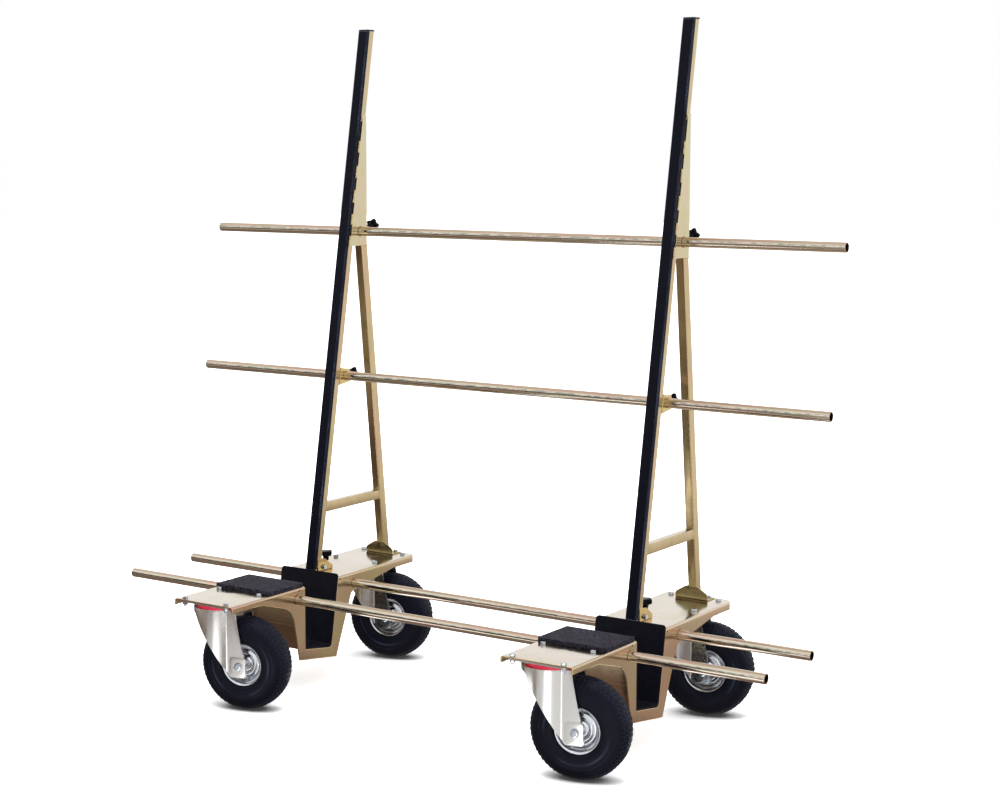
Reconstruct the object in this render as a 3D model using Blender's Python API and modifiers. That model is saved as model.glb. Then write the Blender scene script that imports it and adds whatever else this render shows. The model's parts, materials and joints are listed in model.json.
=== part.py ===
"""Carrier for glass panes: two floor units on swivel casters, with leaning uprights, joined by four tubes.

Panes stand in the pockets of the two units and lean back on the rubber of the uprights. The units slide
along the tubes to suit the width of the panes. Lengths are in metres, +Z is up, the tubes run along X, the
panes lean back towards +Y, and the tyres stand on Z = 0.
"""

import math

import bmesh
import bpy
from mathutils import Matrix, Vector

# Fits
seat_gap = 0.0003
sliding_gap = 0.0006
overrun = 0.020
weld_distance = 0.00001

# Tubes and the two floor units
tube_length = 2.095
tube_diameter = 0.027
tube_wall = 0.002
unit_spacing = 1.083
unit_pair_offset = 0.0221

# Folded base of a floor unit
base_length = 0.846
base_width = 0.210
platform_height = 0.3067
base_sheet = 0.004
bend_radius = 0.006
rear_corner_radius = 0.028
front_flange_drop = 0.018
rear_flange_drop = 0.021

# Pocket in which the panes stand
pocket_front_y = -0.1133
pocket_front_depth = 0.183
pocket_rear_depth = 0.201
pocket_corner_radius = 0.012
pocket_wall = 0.003
lap_drop = 0.119
carrier_front_y = 0.0343
lean = math.radians(9.82)

# Cheeks of the base, measured from the pocket
cheek_front_skirt = 0.027
cheek_rear_skirt = 0.033
cheek_front_margin = 0.0247
cheek_front_shoulder = 0.0547
cheek_front_shoulder_drop = 0.0567
cheek_front_run = 0.187
cheek_front_fillet = 0.065
cheek_rear_margin = 0.022
cheek_rear_shoulder = 0.0657
cheek_rear_shoulder_drop = 0.0552
cheek_rear_run = 0.271
cheek_rear_fillet = 0.012
cheek_flange_fillet = 0.080
drain_hole_diameter = 0.005
drain_hole_drop = 0.0085
front_drain_margin = 0.0225
rear_drain_margin = 0.013

# Places of the tubes
floor_tube_drop = 0.0315
front_tube_ahead = 0.0342
rear_tube_behind = 0.0779
middle_tube_height = 0.8744
middle_tube_behind = 0.0277
upper_tube_height = 1.2975
upper_tube_behind = 0.0264

# Black lining of the pocket and the pad in front of it
liner_thickness = 0.0042
liner_rise = 0.0088
liner_corner_radius = 0.009
pad_length = 0.1415
pad_side_margin = 0.0035
pad_thickness = 0.011
pad_rear_margin = 0.0035
pad_edge_radius = 0.003

# Upright and its rubber
upright_side = 0.030
upright_wall = 0.002
upright_corner_radius = 0.003
upright_top = 1.884
rubber_front = 0.0045
rubber_lip = 0.0012
rubber_lip_depth = 0.012
rubber_edge_radius = 0.002
cap_thickness = 0.0037
cap_plug_length = 0.022

# Rear leg and crossbar
leg_width = 0.025
leg_depth = 0.030
leg_wall = 0.002
leg_corner_radius = 0.003
leg_foot_inset = 0.0439
leg_top_run = 0.0372
leg_top_inside = 0.020
crossbar_width = 0.025
crossbar_height = 0.028
crossbar_level = 0.4925

# Gusset at the head of the leg
gusset_below_tube = 0.0420
gusset_sheet = 0.0027
gusset_behind_leg = -0.0049
gusset_corner_radius = 0.004

# Bracket of the middle tube
bracket_width = 0.032
bracket_sheet = 0.004
bracket_depth = 0.050
bracket_front_height = 0.050
bracket_rear_height = 0.036
bracket_corner_radius = 0.004

# Shoe of the upright
shoe_sheet = 0.003
shoe_front_height = 0.0393
shoe_rear_height = 0.0353
shoe_tail_height = 0.0113
shoe_back_run = 0.052
shoe_tail_run = 0.087
shoe_corner_radius = 0.005
shoe_bolt_run = 0.045
shoe_bolt_height = 0.0113

# Foot of the rear leg
foot_width = 0.100
foot_depth = 0.043
foot_sheet = 0.003
foot_height = 0.0373
foot_ridge_width = 0.027
foot_side_height = 0.0200
foot_corner_radius = 0.004
foot_bolt_spread = 0.072
foot_bolt_margin = 0.0075

# Bolts
bolt_diameter = 0.008
bolt_flats = 0.013
bolt_head_height = 0.0053
nut_height = 0.0065
bolt_end = 0.003
small_bolt_diameter = 0.006
small_bolt_flats = 0.010
small_bolt_head_height = 0.004
bolt_hole_gap = 0.0005

# Clamping knobs
knob_diameter = 0.042
knob_lobes = 5
knob_lobe_depth = 0.0045
knob_thickness = 0.015
knob_edge_radius = 0.003
knob_hub_diameter = 0.016
knob_hub_length = 0.014
stud_diameter = 0.008
stud_gap = 0.0004
upper_knob_reach = 0.0621
middle_knob_reach = 0.0313
base_knob_reach = 0.0558
upper_knob_tilt = math.radians(10.0)

# Swivel casters
caster_front_inset = 0.0788
caster_rear_inset = 0.1014
caster_turn = math.radians(13.7)
caster_trail = 0.074
caster_plate_width = 0.172
caster_plate_length = 0.156
caster_plate_sheet = 0.004
caster_plate_corner = 0.012
caster_bolt_width = 0.148
caster_bolt_length = 0.140
seal_height = 0.0125
seal_diameter = 0.140
seal_width = 0.014
race_diameter = 0.060
race_height = 0.006
king_pin_diameter = 0.014
king_head_diameter = 0.026
king_head_height = 0.006

# Pressed fork, in the caster's own frame
fork_sheet = 0.004
fork_inside = 0.094
fork_nose = 0.080
fork_nose_radius = 0.070
fork_crown_diameter = 0.142
fork_shoulder = 0.058
fork_toe = 0.047
fork_heel = 0.099
fork_foot_below_axle = 0.033
fork_crown_end = 0.0625
fork_shoulder_drop = 0.0145
fork_corner_radius = 0.009
fork_flank_radius = 0.012
fork_pad_width = 0.054
fork_pad_height = 0.060
fork_pad_rise = 0.003
fork_pad_radius = 0.010
axle_diameter = 0.012
axle_flats = 0.019
axle_head_height = 0.0075

# Wheel
tyre_diameter = 0.260
tyre_width = 0.085
bead_diameter = 0.102
flange_diameter = 0.119
flange_width = 0.070
rim_sheet = 0.003
rim_dish = 0.022
hub_diameter = 0.028
tyre_wall = 0.0065
bead_width = 0.0065

# Shares of the tyre's height over its bead and of its half width, from flange to crown
tyre_outer_shares = ((0.24, 0.93), (0.50, 1.00), (0.80, 0.92), (1.00, 0.52))
tyre_inner_shares = ((0.35, 1.00), (1.00, 0.52))

# Shares of the rim's face from hub to well, and of its dish, at the ring pressed into it
rim_ring_shares = (0.60, 0.75)

# Facets
round_steps = 18
hole_steps = 12
nose_steps = 12
small_steps = 10
fillet_steps = 2
tyre_steps = 24
rim_steps = 18
knob_lobe_steps = 4
hexagon_steps = 6
smooth_angle = math.radians(35)
bevelled_angle = math.radians(60)

# Worked out from the sizes above
tube_radius = tube_diameter / 2
base_front = -base_length / 2
base_rear = base_length / 2
slope = math.tan(lean)
floor_tube_height = platform_height - floor_tube_drop
front_tube_y = pocket_front_y - front_tube_ahead
rear_tube_y = carrier_front_y + rear_tube_behind
pocket_floor_front = platform_height - pocket_front_depth
pocket_floor_rear = platform_height - pocket_rear_depth
wheel_radius = tyre_diameter / 2
caster_plate_top = platform_height - base_sheet - seat_gap
caster_plate_bottom = caster_plate_top - caster_plate_sheet
seal_top = caster_plate_bottom - seat_gap
fork_top = seal_top - seal_height - seat_gap
fork_outside = fork_inside + 2 * fork_sheet
unit_places = {
    "left": unit_pair_offset - unit_spacing / 2,
    "right": unit_pair_offset + unit_spacing / 2,
}
caster_places = {
    "front": base_front + caster_front_inset,
    "rear": base_rear - caster_rear_inset,
}


def carrier_front(height):
    """Y of the rubber's front face at a height."""
    return carrier_front_y + slope * (height - platform_height)


def upright_rear(height):
    """Y of the upright's rear face at a height."""
    return carrier_front(height) + (rubber_front + upright_side) / math.cos(lean)


middle_tube_y = upright_rear(middle_tube_height) + middle_tube_behind
upper_tube_y = upright_rear(upper_tube_height) + upper_tube_behind
shoe_floor = platform_height + seat_gap + shoe_sheet
upright_bottom = shoe_floor + seat_gap
leg_bottom = platform_height + seat_gap + foot_sheet + seat_gap
gusset_bottom = upper_tube_height - gusset_below_tube
leg_top = gusset_bottom + leg_top_inside
leg_top_y = upright_rear(leg_top) + leg_top_run
leg_bottom_y = base_rear - leg_foot_inset
leg_slope = (leg_bottom_y - leg_top_y) / (leg_top - leg_bottom)
leg_lean = math.atan(leg_slope)


def leg_front(height):
    """Y of the leg's front face at a height."""
    return leg_bottom_y - leg_slope * (height - leg_bottom)


gusset_rear = leg_front(leg_top) + leg_depth / math.cos(leg_lean) + gusset_behind_leg
gusset_top = platform_height + (gusset_rear - upright_rear(platform_height)) / slope
foot_gable_y = leg_front(platform_height + foot_height) - seat_gap - foot_sheet
shoe_front_y = (
    carrier_front(platform_height + shoe_front_height) + rubber_lip_depth / math.cos(lean) + seat_gap
)
shoe_bolt_y = carrier_front_y + shoe_bolt_run
shoe_bolt_z = platform_height + shoe_bolt_height
shoe_outer = upright_side / 2 + seat_gap + shoe_sheet
stud_radius = stud_diameter / 2
bolt_radius = bolt_diameter / 2
nut_embed = base_sheet / 4
half_width = base_width / 2
pocket_depth = (liner_thickness + seat_gap) / math.cos(lean)
upper_knob_axis = Vector((0, math.cos(upper_knob_tilt), math.sin(upper_knob_tilt)))
middle_knob_axis = Vector((0, 1, 0))
wheel_turn = Matrix.Rotation(-math.pi / 2, 4, "X")


def new_collection(name):
    """A collection linked to the scene."""
    collection = bpy.data.collections.new(name)
    bpy.context.scene.collection.children.link(collection)
    return collection


for old in list(bpy.data.objects):
    bpy.data.objects.remove(old, do_unlink=True)
parts = new_collection("glass_pane_carrier")
cutters = new_collection("cutters")


def new_material(name, colour, roughness, metallic):
    """A Principled material."""
    material = bpy.data.materials.new(name)
    material.use_nodes = True
    shader = material.node_tree.nodes["Principled BSDF"]
    shader.inputs["Base Color"].default_value = (*colour, 1.0)
    shader.inputs["Roughness"].default_value = roughness
    shader.inputs["Metallic"].default_value = metallic
    material.diffuse_color = (*colour, 1.0)
    return material


materials = {
    "yellow_zinc": new_material("yellow_zinc", (0.78, 0.66, 0.47), 0.26, 1.0),
    "bright_zinc": new_material("bright_zinc", (0.72, 0.72, 0.71), 0.34, 1.0),
    "black_rubber": new_material("black_rubber", (0.016, 0.017, 0.022), 0.62, 0.0),
    "speckled_pad": new_material("speckled_pad", (0.045, 0.046, 0.052), 0.85, 0.0),
    "black_plastic": new_material("black_plastic", (0.012, 0.012, 0.013), 0.42, 0.0),
    "red_seal": new_material("red_seal", (0.72, 0.02, 0.06), 0.45, 0.0),
    "rim_zinc": new_material("rim_zinc", (0.70, 0.71, 0.73), 0.24, 1.0),
    "tyre_rubber": new_material("tyre_rubber", (0.045, 0.048, 0.062), 0.70, 0.0),
}


def circle(centre, radius, steps=round_steps):
    """Points of a circle."""
    turns = [2 * math.pi * (i + 0.5) / steps for i in range(steps)]
    return [(centre[0] + radius * math.cos(a), centre[1] + radius * math.sin(a)) for a in turns]


def rectangle(low, high):
    """Corners of a rectangle between two opposite ones."""
    return [(low[0], low[1]), (high[0], low[1]), (high[0], high[1]), (low[0], high[1])]


def rounded(corners, steps=fillet_steps):
    """An outline whose corners, each (a, b, radius), are rounded."""
    points = []
    for i, (a, b, radius) in enumerate(corners):
        here = Vector((a, b))
        if radius == 0:
            points.append((a, b))
            continue
        back = (Vector(corners[i - 1][:2]) - here).normalized()
        ahead = (Vector(corners[(i + 1) % len(corners)][:2]) - here).normalized()
        half = back.angle(ahead) / 2
        centre = here + (back + ahead).normalized() * (radius / math.sin(half))
        start = here + back * (radius / math.tan(half)) - centre
        end = here + ahead * (radius / math.tan(half)) - centre
        turn = start.angle_signed(end)
        for step in range(steps + 1):
            arm = start.copy()
            arm.rotate(Matrix.Rotation(-turn * step / steps, 2))
            points.append(tuple(centre + arm))
    return points


def soft_rectangle(low, high, radius):
    """A rectangle with its four corners rounded."""
    return rounded([(a, b, radius) for a, b in rectangle(low, high)])


def offset_path(points, distance):
    """An open path moved to its left by a distance, with mitred corners."""
    moved = []
    runs = [(Vector(q) - Vector(p)).normalized() for p, q in zip(points, points[1:])]
    for i, point in enumerate(points):
        before = runs[max(i - 1, 0)]
        after = runs[min(i, len(runs) - 1)]
        normal = Vector((-before.y - after.y, before.x + after.x)).normalized()
        reach = distance / normal.dot(Vector((-after.y, after.x)))
        moved.append(tuple(Vector(point) + normal * reach))
    return moved


def mesh_object(name, mesh):
    """An object of a mesh, kept with the cutters until it is a finished piece."""
    piece = bpy.data.objects.new(name, mesh)
    cutters.objects.link(piece)
    piece.hide_render = True
    piece.display_type = "WIRE"
    return piece


planes = {
    "XY": Matrix(((1, 0, 0), (0, 1, 0), (0, 0, 1))),
    "YZ": Matrix(((0, 0, 1), (1, 0, 0), (0, 1, 0))),
    "XZ": Matrix(((1, 0, 0), (0, 0, -1), (0, 1, 0))),
}


def prism(name, loops, low, high, plane):
    """A flat outline, with any holes in it, extruded square to its plane from low to high."""
    curve = bpy.data.curves.new(name, "CURVE")
    curve.dimensions = "2D"
    curve.fill_mode = "BOTH"
    curve.extrude = (high - low) / 2
    for loop in loops:
        spline = curve.splines.new("POLY")
        spline.points.add(len(loop) - 1)
        for point, (a, b) in zip(spline.points, loop):
            point.co = (a, b, 0, 1)
        spline.use_cyclic_u = True
    outline = bpy.data.objects.new(name + "_outline", curve)
    cutters.objects.link(outline)
    bpy.context.view_layer.update()
    mesh = bpy.data.meshes.new_from_object(outline.evaluated_get(bpy.context.evaluated_depsgraph_get()))
    bpy.data.objects.remove(outline, do_unlink=True)
    bpy.data.curves.remove(curve)
    middle = (high + low) / 2 * (-1 if plane == "XZ" else 1)
    mesh.transform(planes[plane].to_4x4() @ Matrix.Translation((0, 0, middle)))
    cleaned = bmesh.new()
    cleaned.from_mesh(mesh)
    bmesh.ops.remove_doubles(cleaned, verts=cleaned.verts, dist=weld_distance)
    bmesh.ops.recalc_face_normals(cleaned, faces=cleaned.faces)
    cleaned.to_mesh(mesh)
    cleaned.free()
    return mesh_object(name, mesh)


def box(name, low, high):
    """A box between two opposite corners."""
    shape = bmesh.new()
    bmesh.ops.create_cube(shape, size=1)
    size = Vector(high) - Vector(low)
    middle = (Vector(high) + Vector(low)) / 2
    bmesh.ops.scale(shape, vec=size, verts=shape.verts)
    bmesh.ops.translate(shape, vec=middle, verts=shape.verts)
    mesh = bpy.data.meshes.new(name)
    shape.to_mesh(mesh)
    shape.free()
    return mesh_object(name, mesh)


def rod(name, radius, start, end, steps=small_steps):
    """A cylinder, or a hexagon prism, between two points."""
    axis = Vector(end) - Vector(start)
    shape = bmesh.new()
    bmesh.ops.create_cone(
        shape,
        cap_ends=True,
        segments=steps,
        radius1=radius,
        radius2=radius,
        depth=axis.length,
    )
    turn = axis.to_track_quat("Z", "Y").to_matrix().to_4x4()
    bmesh.ops.transform(shape, matrix=turn, verts=shape.verts)
    bmesh.ops.translate(shape, vec=(Vector(end) + Vector(start)) / 2, verts=shape.verts)
    mesh = bpy.data.meshes.new(name)
    shape.to_mesh(mesh)
    shape.free()
    return mesh_object(name, mesh)


def hexagon(name, flats, start, end):
    """A hexagon prism of a given width across flats."""
    return rod(name, flats / 2 / math.cos(math.pi / hexagon_steps), start, end, hexagon_steps)


def turned(name, profile, steps, closed=True):
    """A profile of (radius, height) points turned about Z; it runs down its outer side."""
    mesh = bpy.data.meshes.new(name)
    count = len(profile)
    edges = [(i, (i + 1) % count) for i in range(count if closed else count - 1)]
    mesh.from_pydata([(radius, 0, height) for radius, height in profile], edges, [])
    piece = mesh_object(name, mesh)
    screw = piece.modifiers.new("turn", "SCREW")
    screw.steps = steps
    screw.render_steps = steps
    screw.use_merge_vertices = True
    screw.merge_threshold = weld_distance
    return piece


def combine(piece, operation, *tools):
    """Boolean modifiers on a piece, one for each tool."""
    for tool in tools:
        change = piece.modifiers.new(operation.lower(), "BOOLEAN")
        change.operation = operation
        change.solver = "EXACT"
        change.object = tool
    return piece


def finished_mesh(piece, matrix=None):
    """The mesh of a piece after its modifiers, shaded and ready to share."""
    bpy.context.view_layer.update()
    mesh = bpy.data.meshes.new_from_object(piece.evaluated_get(bpy.context.evaluated_depsgraph_get()))
    mesh.name = piece.name
    if matrix is not None:
        mesh.transform(matrix)
    mesh.shade_smooth()
    mesh.set_sharp_from_angle(angle=smooth_angle)
    return mesh


def leaning(name, loops, low, high, line_y, line_slope):
    """A bar of a given level section whose ends are level and whose front follows a sloping line."""
    bar = prism(name, loops, low, high, "XY")
    shear = Matrix.Identity(4)
    shear[1][2] = line_slope
    shear[1][3] = line_y - line_slope * low
    bar.data.transform(shear)
    return bar


def pocket_path(front_top, rear_top):
    """The pocket seen from the side: front wall, sloping floor, rounded corner and leaning rear wall."""
    rear_y = carrier_front(pocket_floor_rear) + pocket_depth
    corner = rounded(
        [
            (pocket_front_y, pocket_floor_front, 0),
            (rear_y, pocket_floor_rear, pocket_corner_radius),
            (carrier_front(rear_top) + pocket_depth, rear_top, 0),
        ]
    )
    return [(pocket_front_y, front_top)] + corner


def knob_mount(direction, tube_centre, face_distance):
    """The welded nut and the hole of a clamping stud that points at a tube's axis."""
    centre = Vector(tube_centre)
    nut = hexagon(
        "nut",
        bolt_flats,
        centre + direction * (face_distance - nut_embed),
        centre + direction * (face_distance + nut_height),
    )
    hole = rod(
        "stud_hole",
        stud_radius + stud_gap,
        centre,
        centre + direction * (face_distance + nut_height + overrun),
    )
    return nut, hole


def make_base_frame():
    """Folded base: platform, side flanges, two cheeks and the sheet trough between them."""
    lowest = min(pocket_floor_front - cheek_front_skirt, pocket_floor_rear - cheek_rear_skirt)
    inner = half_width - base_sheet
    inner_radius = bend_radius - base_sheet
    channel = prism(
        "base_frame",
        [
            rounded(
                [
                    (-half_width, lowest, 0),
                    (-inner, lowest, 0),
                    (-inner, platform_height - base_sheet, inner_radius),
                    (inner, platform_height - base_sheet, inner_radius),
                    (inner, lowest, 0),
                    (half_width, lowest, 0),
                    (half_width, platform_height, bend_radius),
                    (-half_width, platform_height, bend_radius),
                ]
            )
        ],
        base_front,
        base_rear,
        "XZ",
    )
    rear_corner_y = carrier_front(pocket_floor_rear) + pocket_depth
    side = prism(
        "side_outline",
        [
            rounded(
                [
                    (base_front - overrun, platform_height + overrun, 0),
                    (base_front - overrun, platform_height - front_flange_drop, 0),
                    (
                        pocket_front_y - cheek_front_run,
                        platform_height - front_flange_drop,
                        cheek_flange_fillet,
                    ),
                    (
                        pocket_front_y - cheek_front_shoulder,
                        platform_height - cheek_front_shoulder_drop,
                        cheek_front_fillet,
                    ),
                    (pocket_front_y - cheek_front_margin, pocket_floor_front - cheek_front_skirt, 0),
                    (rear_corner_y + cheek_rear_margin, pocket_floor_rear - cheek_rear_skirt, 0),
                    (
                        carrier_front_y + cheek_rear_shoulder,
                        platform_height - cheek_rear_shoulder_drop,
                        cheek_rear_fillet,
                    ),
                    (
                        carrier_front_y + cheek_rear_run,
                        platform_height - rear_flange_drop,
                        cheek_flange_fillet,
                    ),
                    (base_rear + overrun, platform_height - rear_flange_drop, 0),
                    (base_rear + overrun, platform_height + overrun, 0),
                ]
            ),
            circle((front_tube_y, floor_tube_height), tube_radius + sliding_gap, hole_steps),
            circle((rear_tube_y, floor_tube_height), tube_radius + sliding_gap, hole_steps),
            circle(
                (pocket_front_y - front_drain_margin, platform_height - drain_hole_drop),
                drain_hole_diameter / 2,
                small_steps,
            ),
            circle(
                (carrier_front_y + rear_drain_margin, platform_height - drain_hole_drop),
                drain_hole_diameter / 2,
                small_steps,
            ),
        ],
        -half_width - overrun,
        half_width + overrun,
        "YZ",
    )
    plan_loops = [
        rounded(
            [
                (-half_width - overrun, base_front - overrun, 0),
                (half_width + overrun, base_front - overrun, 0),
                (half_width + overrun, 0, 0),
                (half_width, 0, 0),
                (half_width, base_rear, rear_corner_radius),
                (-half_width, base_rear, rear_corner_radius),
                (-half_width, 0, 0),
                (-half_width - overrun, 0, 0),
            ]
        )
    ]
    for caster_y in caster_places.values():
        for side_x in (-1, 1):
            for side_y in (-1, 1):
                centre = (side_x * caster_bolt_width / 2, caster_y + side_y * caster_bolt_length / 2)
                plan_loops.append(circle(centre, bolt_radius + bolt_hole_gap, small_steps))
    for side_x in (-1, 1):
        centre = (side_x * foot_bolt_spread / 2, foot_gable_y + foot_depth - foot_bolt_margin)
        plan_loops.append(circle(centre, small_bolt_diameter / 2 + bolt_hole_gap, small_steps))
    plan = prism("plan_outline", plan_loops, 0, platform_height + overrun, "XY")
    trough_top = platform_height - base_sheet / 2
    trough_side = half_width - base_sheet / 2
    trough_path = offset_path(pocket_path(trough_top, trough_top), -pocket_wall)
    trough = prism("trough", [trough_path], -trough_side, trough_side, "YZ")
    lap = box(
        "lap",
        (-trough_side, pocket_front_y - 2 * pocket_wall, platform_height - lap_drop),
        (trough_side, pocket_front_y - pocket_wall / 2, trough_top),
    )
    opening_top = platform_height + overrun
    opening = prism(
        "pocket_opening",
        [pocket_path(opening_top, opening_top)],
        -half_width - overrun,
        half_width + overrun,
        "YZ",
    )
    under_face = Vector((0, rear_tube_y, platform_height - base_sheet))
    nut = hexagon(
        "nut",
        bolt_flats,
        under_face + Vector((0, 0, nut_embed)),
        under_face - Vector((0, 0, nut_height)),
    )
    stud_hole = rod(
        "stud_hole",
        stud_radius + stud_gap,
        under_face - Vector((0, 0, nut_height + overrun)),
        under_face + Vector((0, 0, overrun)),
    )
    combine(channel, "INTERSECT", side, plan)
    combine(channel, "UNION", trough, lap, nut)
    combine(channel, "DIFFERENCE", opening, stud_hole)
    return finished_mesh(channel)


def make_slot_liner():
    """Black lining of the pocket; its rear plate stands a little over the platform."""
    front_top = platform_height - base_sheet
    rear_top = platform_height + liner_rise
    path = pocket_path(front_top, rear_top)
    outline = offset_path(path, seat_gap) + offset_path(path, seat_gap + liner_thickness)[::-1]
    liner = prism("slot_liner", [outline], -half_width, half_width, "YZ")
    face = rounded(
        [
            (-half_width - overrun, 0, 0),
            (half_width + overrun, 0, 0),
            (half_width + overrun, platform_height - base_sheet, 0),
            (half_width, platform_height - base_sheet, 0),
            (half_width, rear_top, liner_corner_radius),
            (-half_width, rear_top, liner_corner_radius),
            (-half_width, platform_height - base_sheet, 0),
            (-half_width - overrun, platform_height - base_sheet, 0),
        ]
    )
    combine(liner, "INTERSECT", prism("liner_face", [face], base_front, base_rear, "XZ"))
    return finished_mesh(liner)


def make_loading_pad():
    """Speckled rubber pad on the platform in front of the pocket."""
    rear = pocket_front_y - pad_rear_margin
    low = platform_height + seat_gap
    pad_half = half_width - pad_side_margin
    pad = box("loading_pad", (-pad_half, rear - pad_length, low), (pad_half, rear, low + pad_thickness))
    edge = pad.modifiers.new("soft_edge", "BEVEL")
    edge.width = pad_edge_radius
    edge.segments = 1
    return finished_mesh(pad)


def make_upright():
    """Square steel tube that leans back."""
    near = rubber_front / math.cos(lean)
    far = near + upright_side / math.cos(lean)
    half = upright_side / 2
    bore = half - upright_wall
    loops = [
        soft_rectangle((-half, near), (half, far), upright_corner_radius),
        rectangle((-bore, near + upright_wall), (bore, far - upright_wall)),
    ]
    return finished_mesh(
        leaning("upright_tube", loops, upright_bottom, upright_top, carrier_front(upright_bottom), slope)
    )


def make_upright_rubber():
    """Rubber channel over the front of the upright."""
    inner = upright_side / 2 + seat_gap
    outer = inner + rubber_lip
    back = rubber_lip_depth / math.cos(lean)
    floor = (rubber_front - seat_gap) / math.cos(lean)
    loop = rounded(
        [
            (-outer, 0, rubber_edge_radius),
            (outer, 0, rubber_edge_radius),
            (outer, back, 0),
            (inner, back, 0),
            (inner, floor, 0),
            (-inner, floor, 0),
            (-inner, back, 0),
            (-outer, back, 0),
        ]
    )
    bottom = platform_height + liner_rise + seat_gap
    return finished_mesh(
        leaning("upright_rubber", [loop], bottom, upright_top, carrier_front(bottom), slope)
    )


def make_upright_cap():
    """Push-in cap on the upright's top."""
    outer = upright_side / 2 + seat_gap + rubber_lip
    near = rubber_front / math.cos(lean)
    depth = near + upright_side / math.cos(lean)
    bottom = upright_top + seat_gap
    top_loop = soft_rectangle((-outer, 0), (outer, depth), rubber_edge_radius)
    cap = leaning("upright_cap", [top_loop], bottom, bottom + cap_thickness, carrier_front(bottom), slope)
    plug_half = upright_side / 2 - upright_wall - seat_gap
    plug_near = near + upright_wall + seat_gap
    plug_far = depth - upright_wall - seat_gap
    plug_low = upright_top - cap_plug_length
    plug = leaning(
        "cap_plug",
        [rectangle((-plug_half, plug_near), (plug_half, plug_far))],
        plug_low,
        bottom + cap_thickness / 2,
        carrier_front(plug_low),
        slope,
    )
    combine(cap, "UNION", plug)
    return finished_mesh(cap)


def make_rear_leg():
    """Box-section leg from the rear of the platform up into the gusset."""
    depth = leg_depth / math.cos(leg_lean)
    half = leg_width / 2
    loops = [
        soft_rectangle((-half, 0), (half, depth), leg_corner_radius),
        rectangle((-half + leg_wall, leg_wall), (half - leg_wall, depth - leg_wall)),
    ]
    return finished_mesh(leaning("rear_leg", loops, leg_bottom, leg_top, leg_bottom_y, -leg_slope))


def make_crossbar():
    """Box-section bar between the upright and the leg, its ends cut to their slopes."""
    low = crossbar_level - crossbar_height / 2
    high = crossbar_level + crossbar_height / 2
    half = crossbar_width / 2
    outline = [
        (upright_rear(low) + seat_gap, low),
        (leg_front(low) - seat_gap, low),
        (leg_front(high) - seat_gap, high),
        (upright_rear(high) + seat_gap, high),
    ]
    bar = prism("crossbar", [outline], -half, half, "YZ")
    bore = box(
        "crossbar_bore",
        (-half + leg_wall, upright_rear(low) - overrun, low + leg_wall),
        (half - leg_wall, leg_front(low) + overrun, high - leg_wall),
    )
    combine(bar, "DIFFERENCE", bore)
    return finished_mesh(bar)


def make_gusset():
    """Bent sheet whose cheeks clasp the upright and the head of the leg; the upper tube runs through them."""
    inner = upright_side / 2 + seat_gap
    outer = inner + gusset_sheet
    setback = rubber_lip_depth / math.cos(lean) + seat_gap
    outline = rounded(
        [
            (carrier_front(gusset_bottom) + setback, gusset_bottom, 0),
            (gusset_rear, gusset_bottom, gusset_corner_radius),
            (gusset_rear, gusset_top, 0),
            (carrier_front(gusset_top) + setback, gusset_top, 0),
        ]
    )
    hole = circle((upper_tube_y, upper_tube_height), tube_radius + sliding_gap, hole_steps)
    gusset = prism("gusset", [outline, hole], -outer, outer, "YZ")
    web_low = leg_top + seat_gap
    web_face = gusset_rear - gusset_sheet
    web_high = platform_height + (web_face - seat_gap - upright_rear(platform_height)) / slope
    front = carrier_front(gusset_bottom) - overrun
    far = gusset_rear + overrun
    inside = prism(
        "gusset_inside",
        [
            [
                (front, gusset_bottom - overrun),
                (far, gusset_bottom - overrun),
                (far, web_low),
                (web_face, web_low),
                (web_face, web_high),
                (far, web_high),
                (far, gusset_top + overrun),
                (front, gusset_top + overrun),
            ]
        ],
        -inner,
        inner,
        "YZ",
    )
    centre = (0, upper_tube_y, upper_tube_height)
    face_distance = (gusset_rear - upper_tube_y) / math.cos(upper_knob_tilt)
    nut, stud_hole = knob_mount(upper_knob_axis, centre, face_distance)
    combine(gusset, "DIFFERENCE", inside)
    combine(gusset, "UNION", nut)
    combine(gusset, "DIFFERENCE", stud_hole)
    return finished_mesh(gusset)


def make_middle_bracket():
    """Bent bracket behind the upright through which the middle tube runs."""
    rear = upright_rear(middle_tube_height) + bracket_depth
    rear_low = middle_tube_height - bracket_rear_height / 2
    rear_high = middle_tube_height + bracket_rear_height / 2
    front_low = middle_tube_height - bracket_front_height / 2
    front_high = middle_tube_height + bracket_front_height / 2
    outline = rounded(
        [
            (upright_rear(front_low) + seat_gap, front_low, 0),
            (rear, rear_low, bracket_corner_radius),
            (rear, rear_high, bracket_corner_radius),
            (upright_rear(front_high) + seat_gap, front_high, 0),
        ]
    )
    hole = circle((middle_tube_y, middle_tube_height), tube_radius + sliding_gap, hole_steps)
    bracket = prism("middle_bracket", [outline, hole], -bracket_width / 2, bracket_width / 2, "YZ")
    inner = bracket_width / 2 - bracket_sheet
    inside = box(
        "bracket_inside",
        (-inner, upright_rear(front_low) - overrun, front_low - overrun),
        (inner, rear - bracket_sheet, front_high + overrun),
    )
    centre = (0, middle_tube_y, middle_tube_height)
    nut, stud_hole = knob_mount(middle_knob_axis, centre, rear - middle_tube_y)
    combine(bracket, "DIFFERENCE", inside)
    combine(bracket, "UNION", nut)
    combine(bracket, "DIFFERENCE", stud_hole)
    return finished_mesh(bracket)


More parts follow.
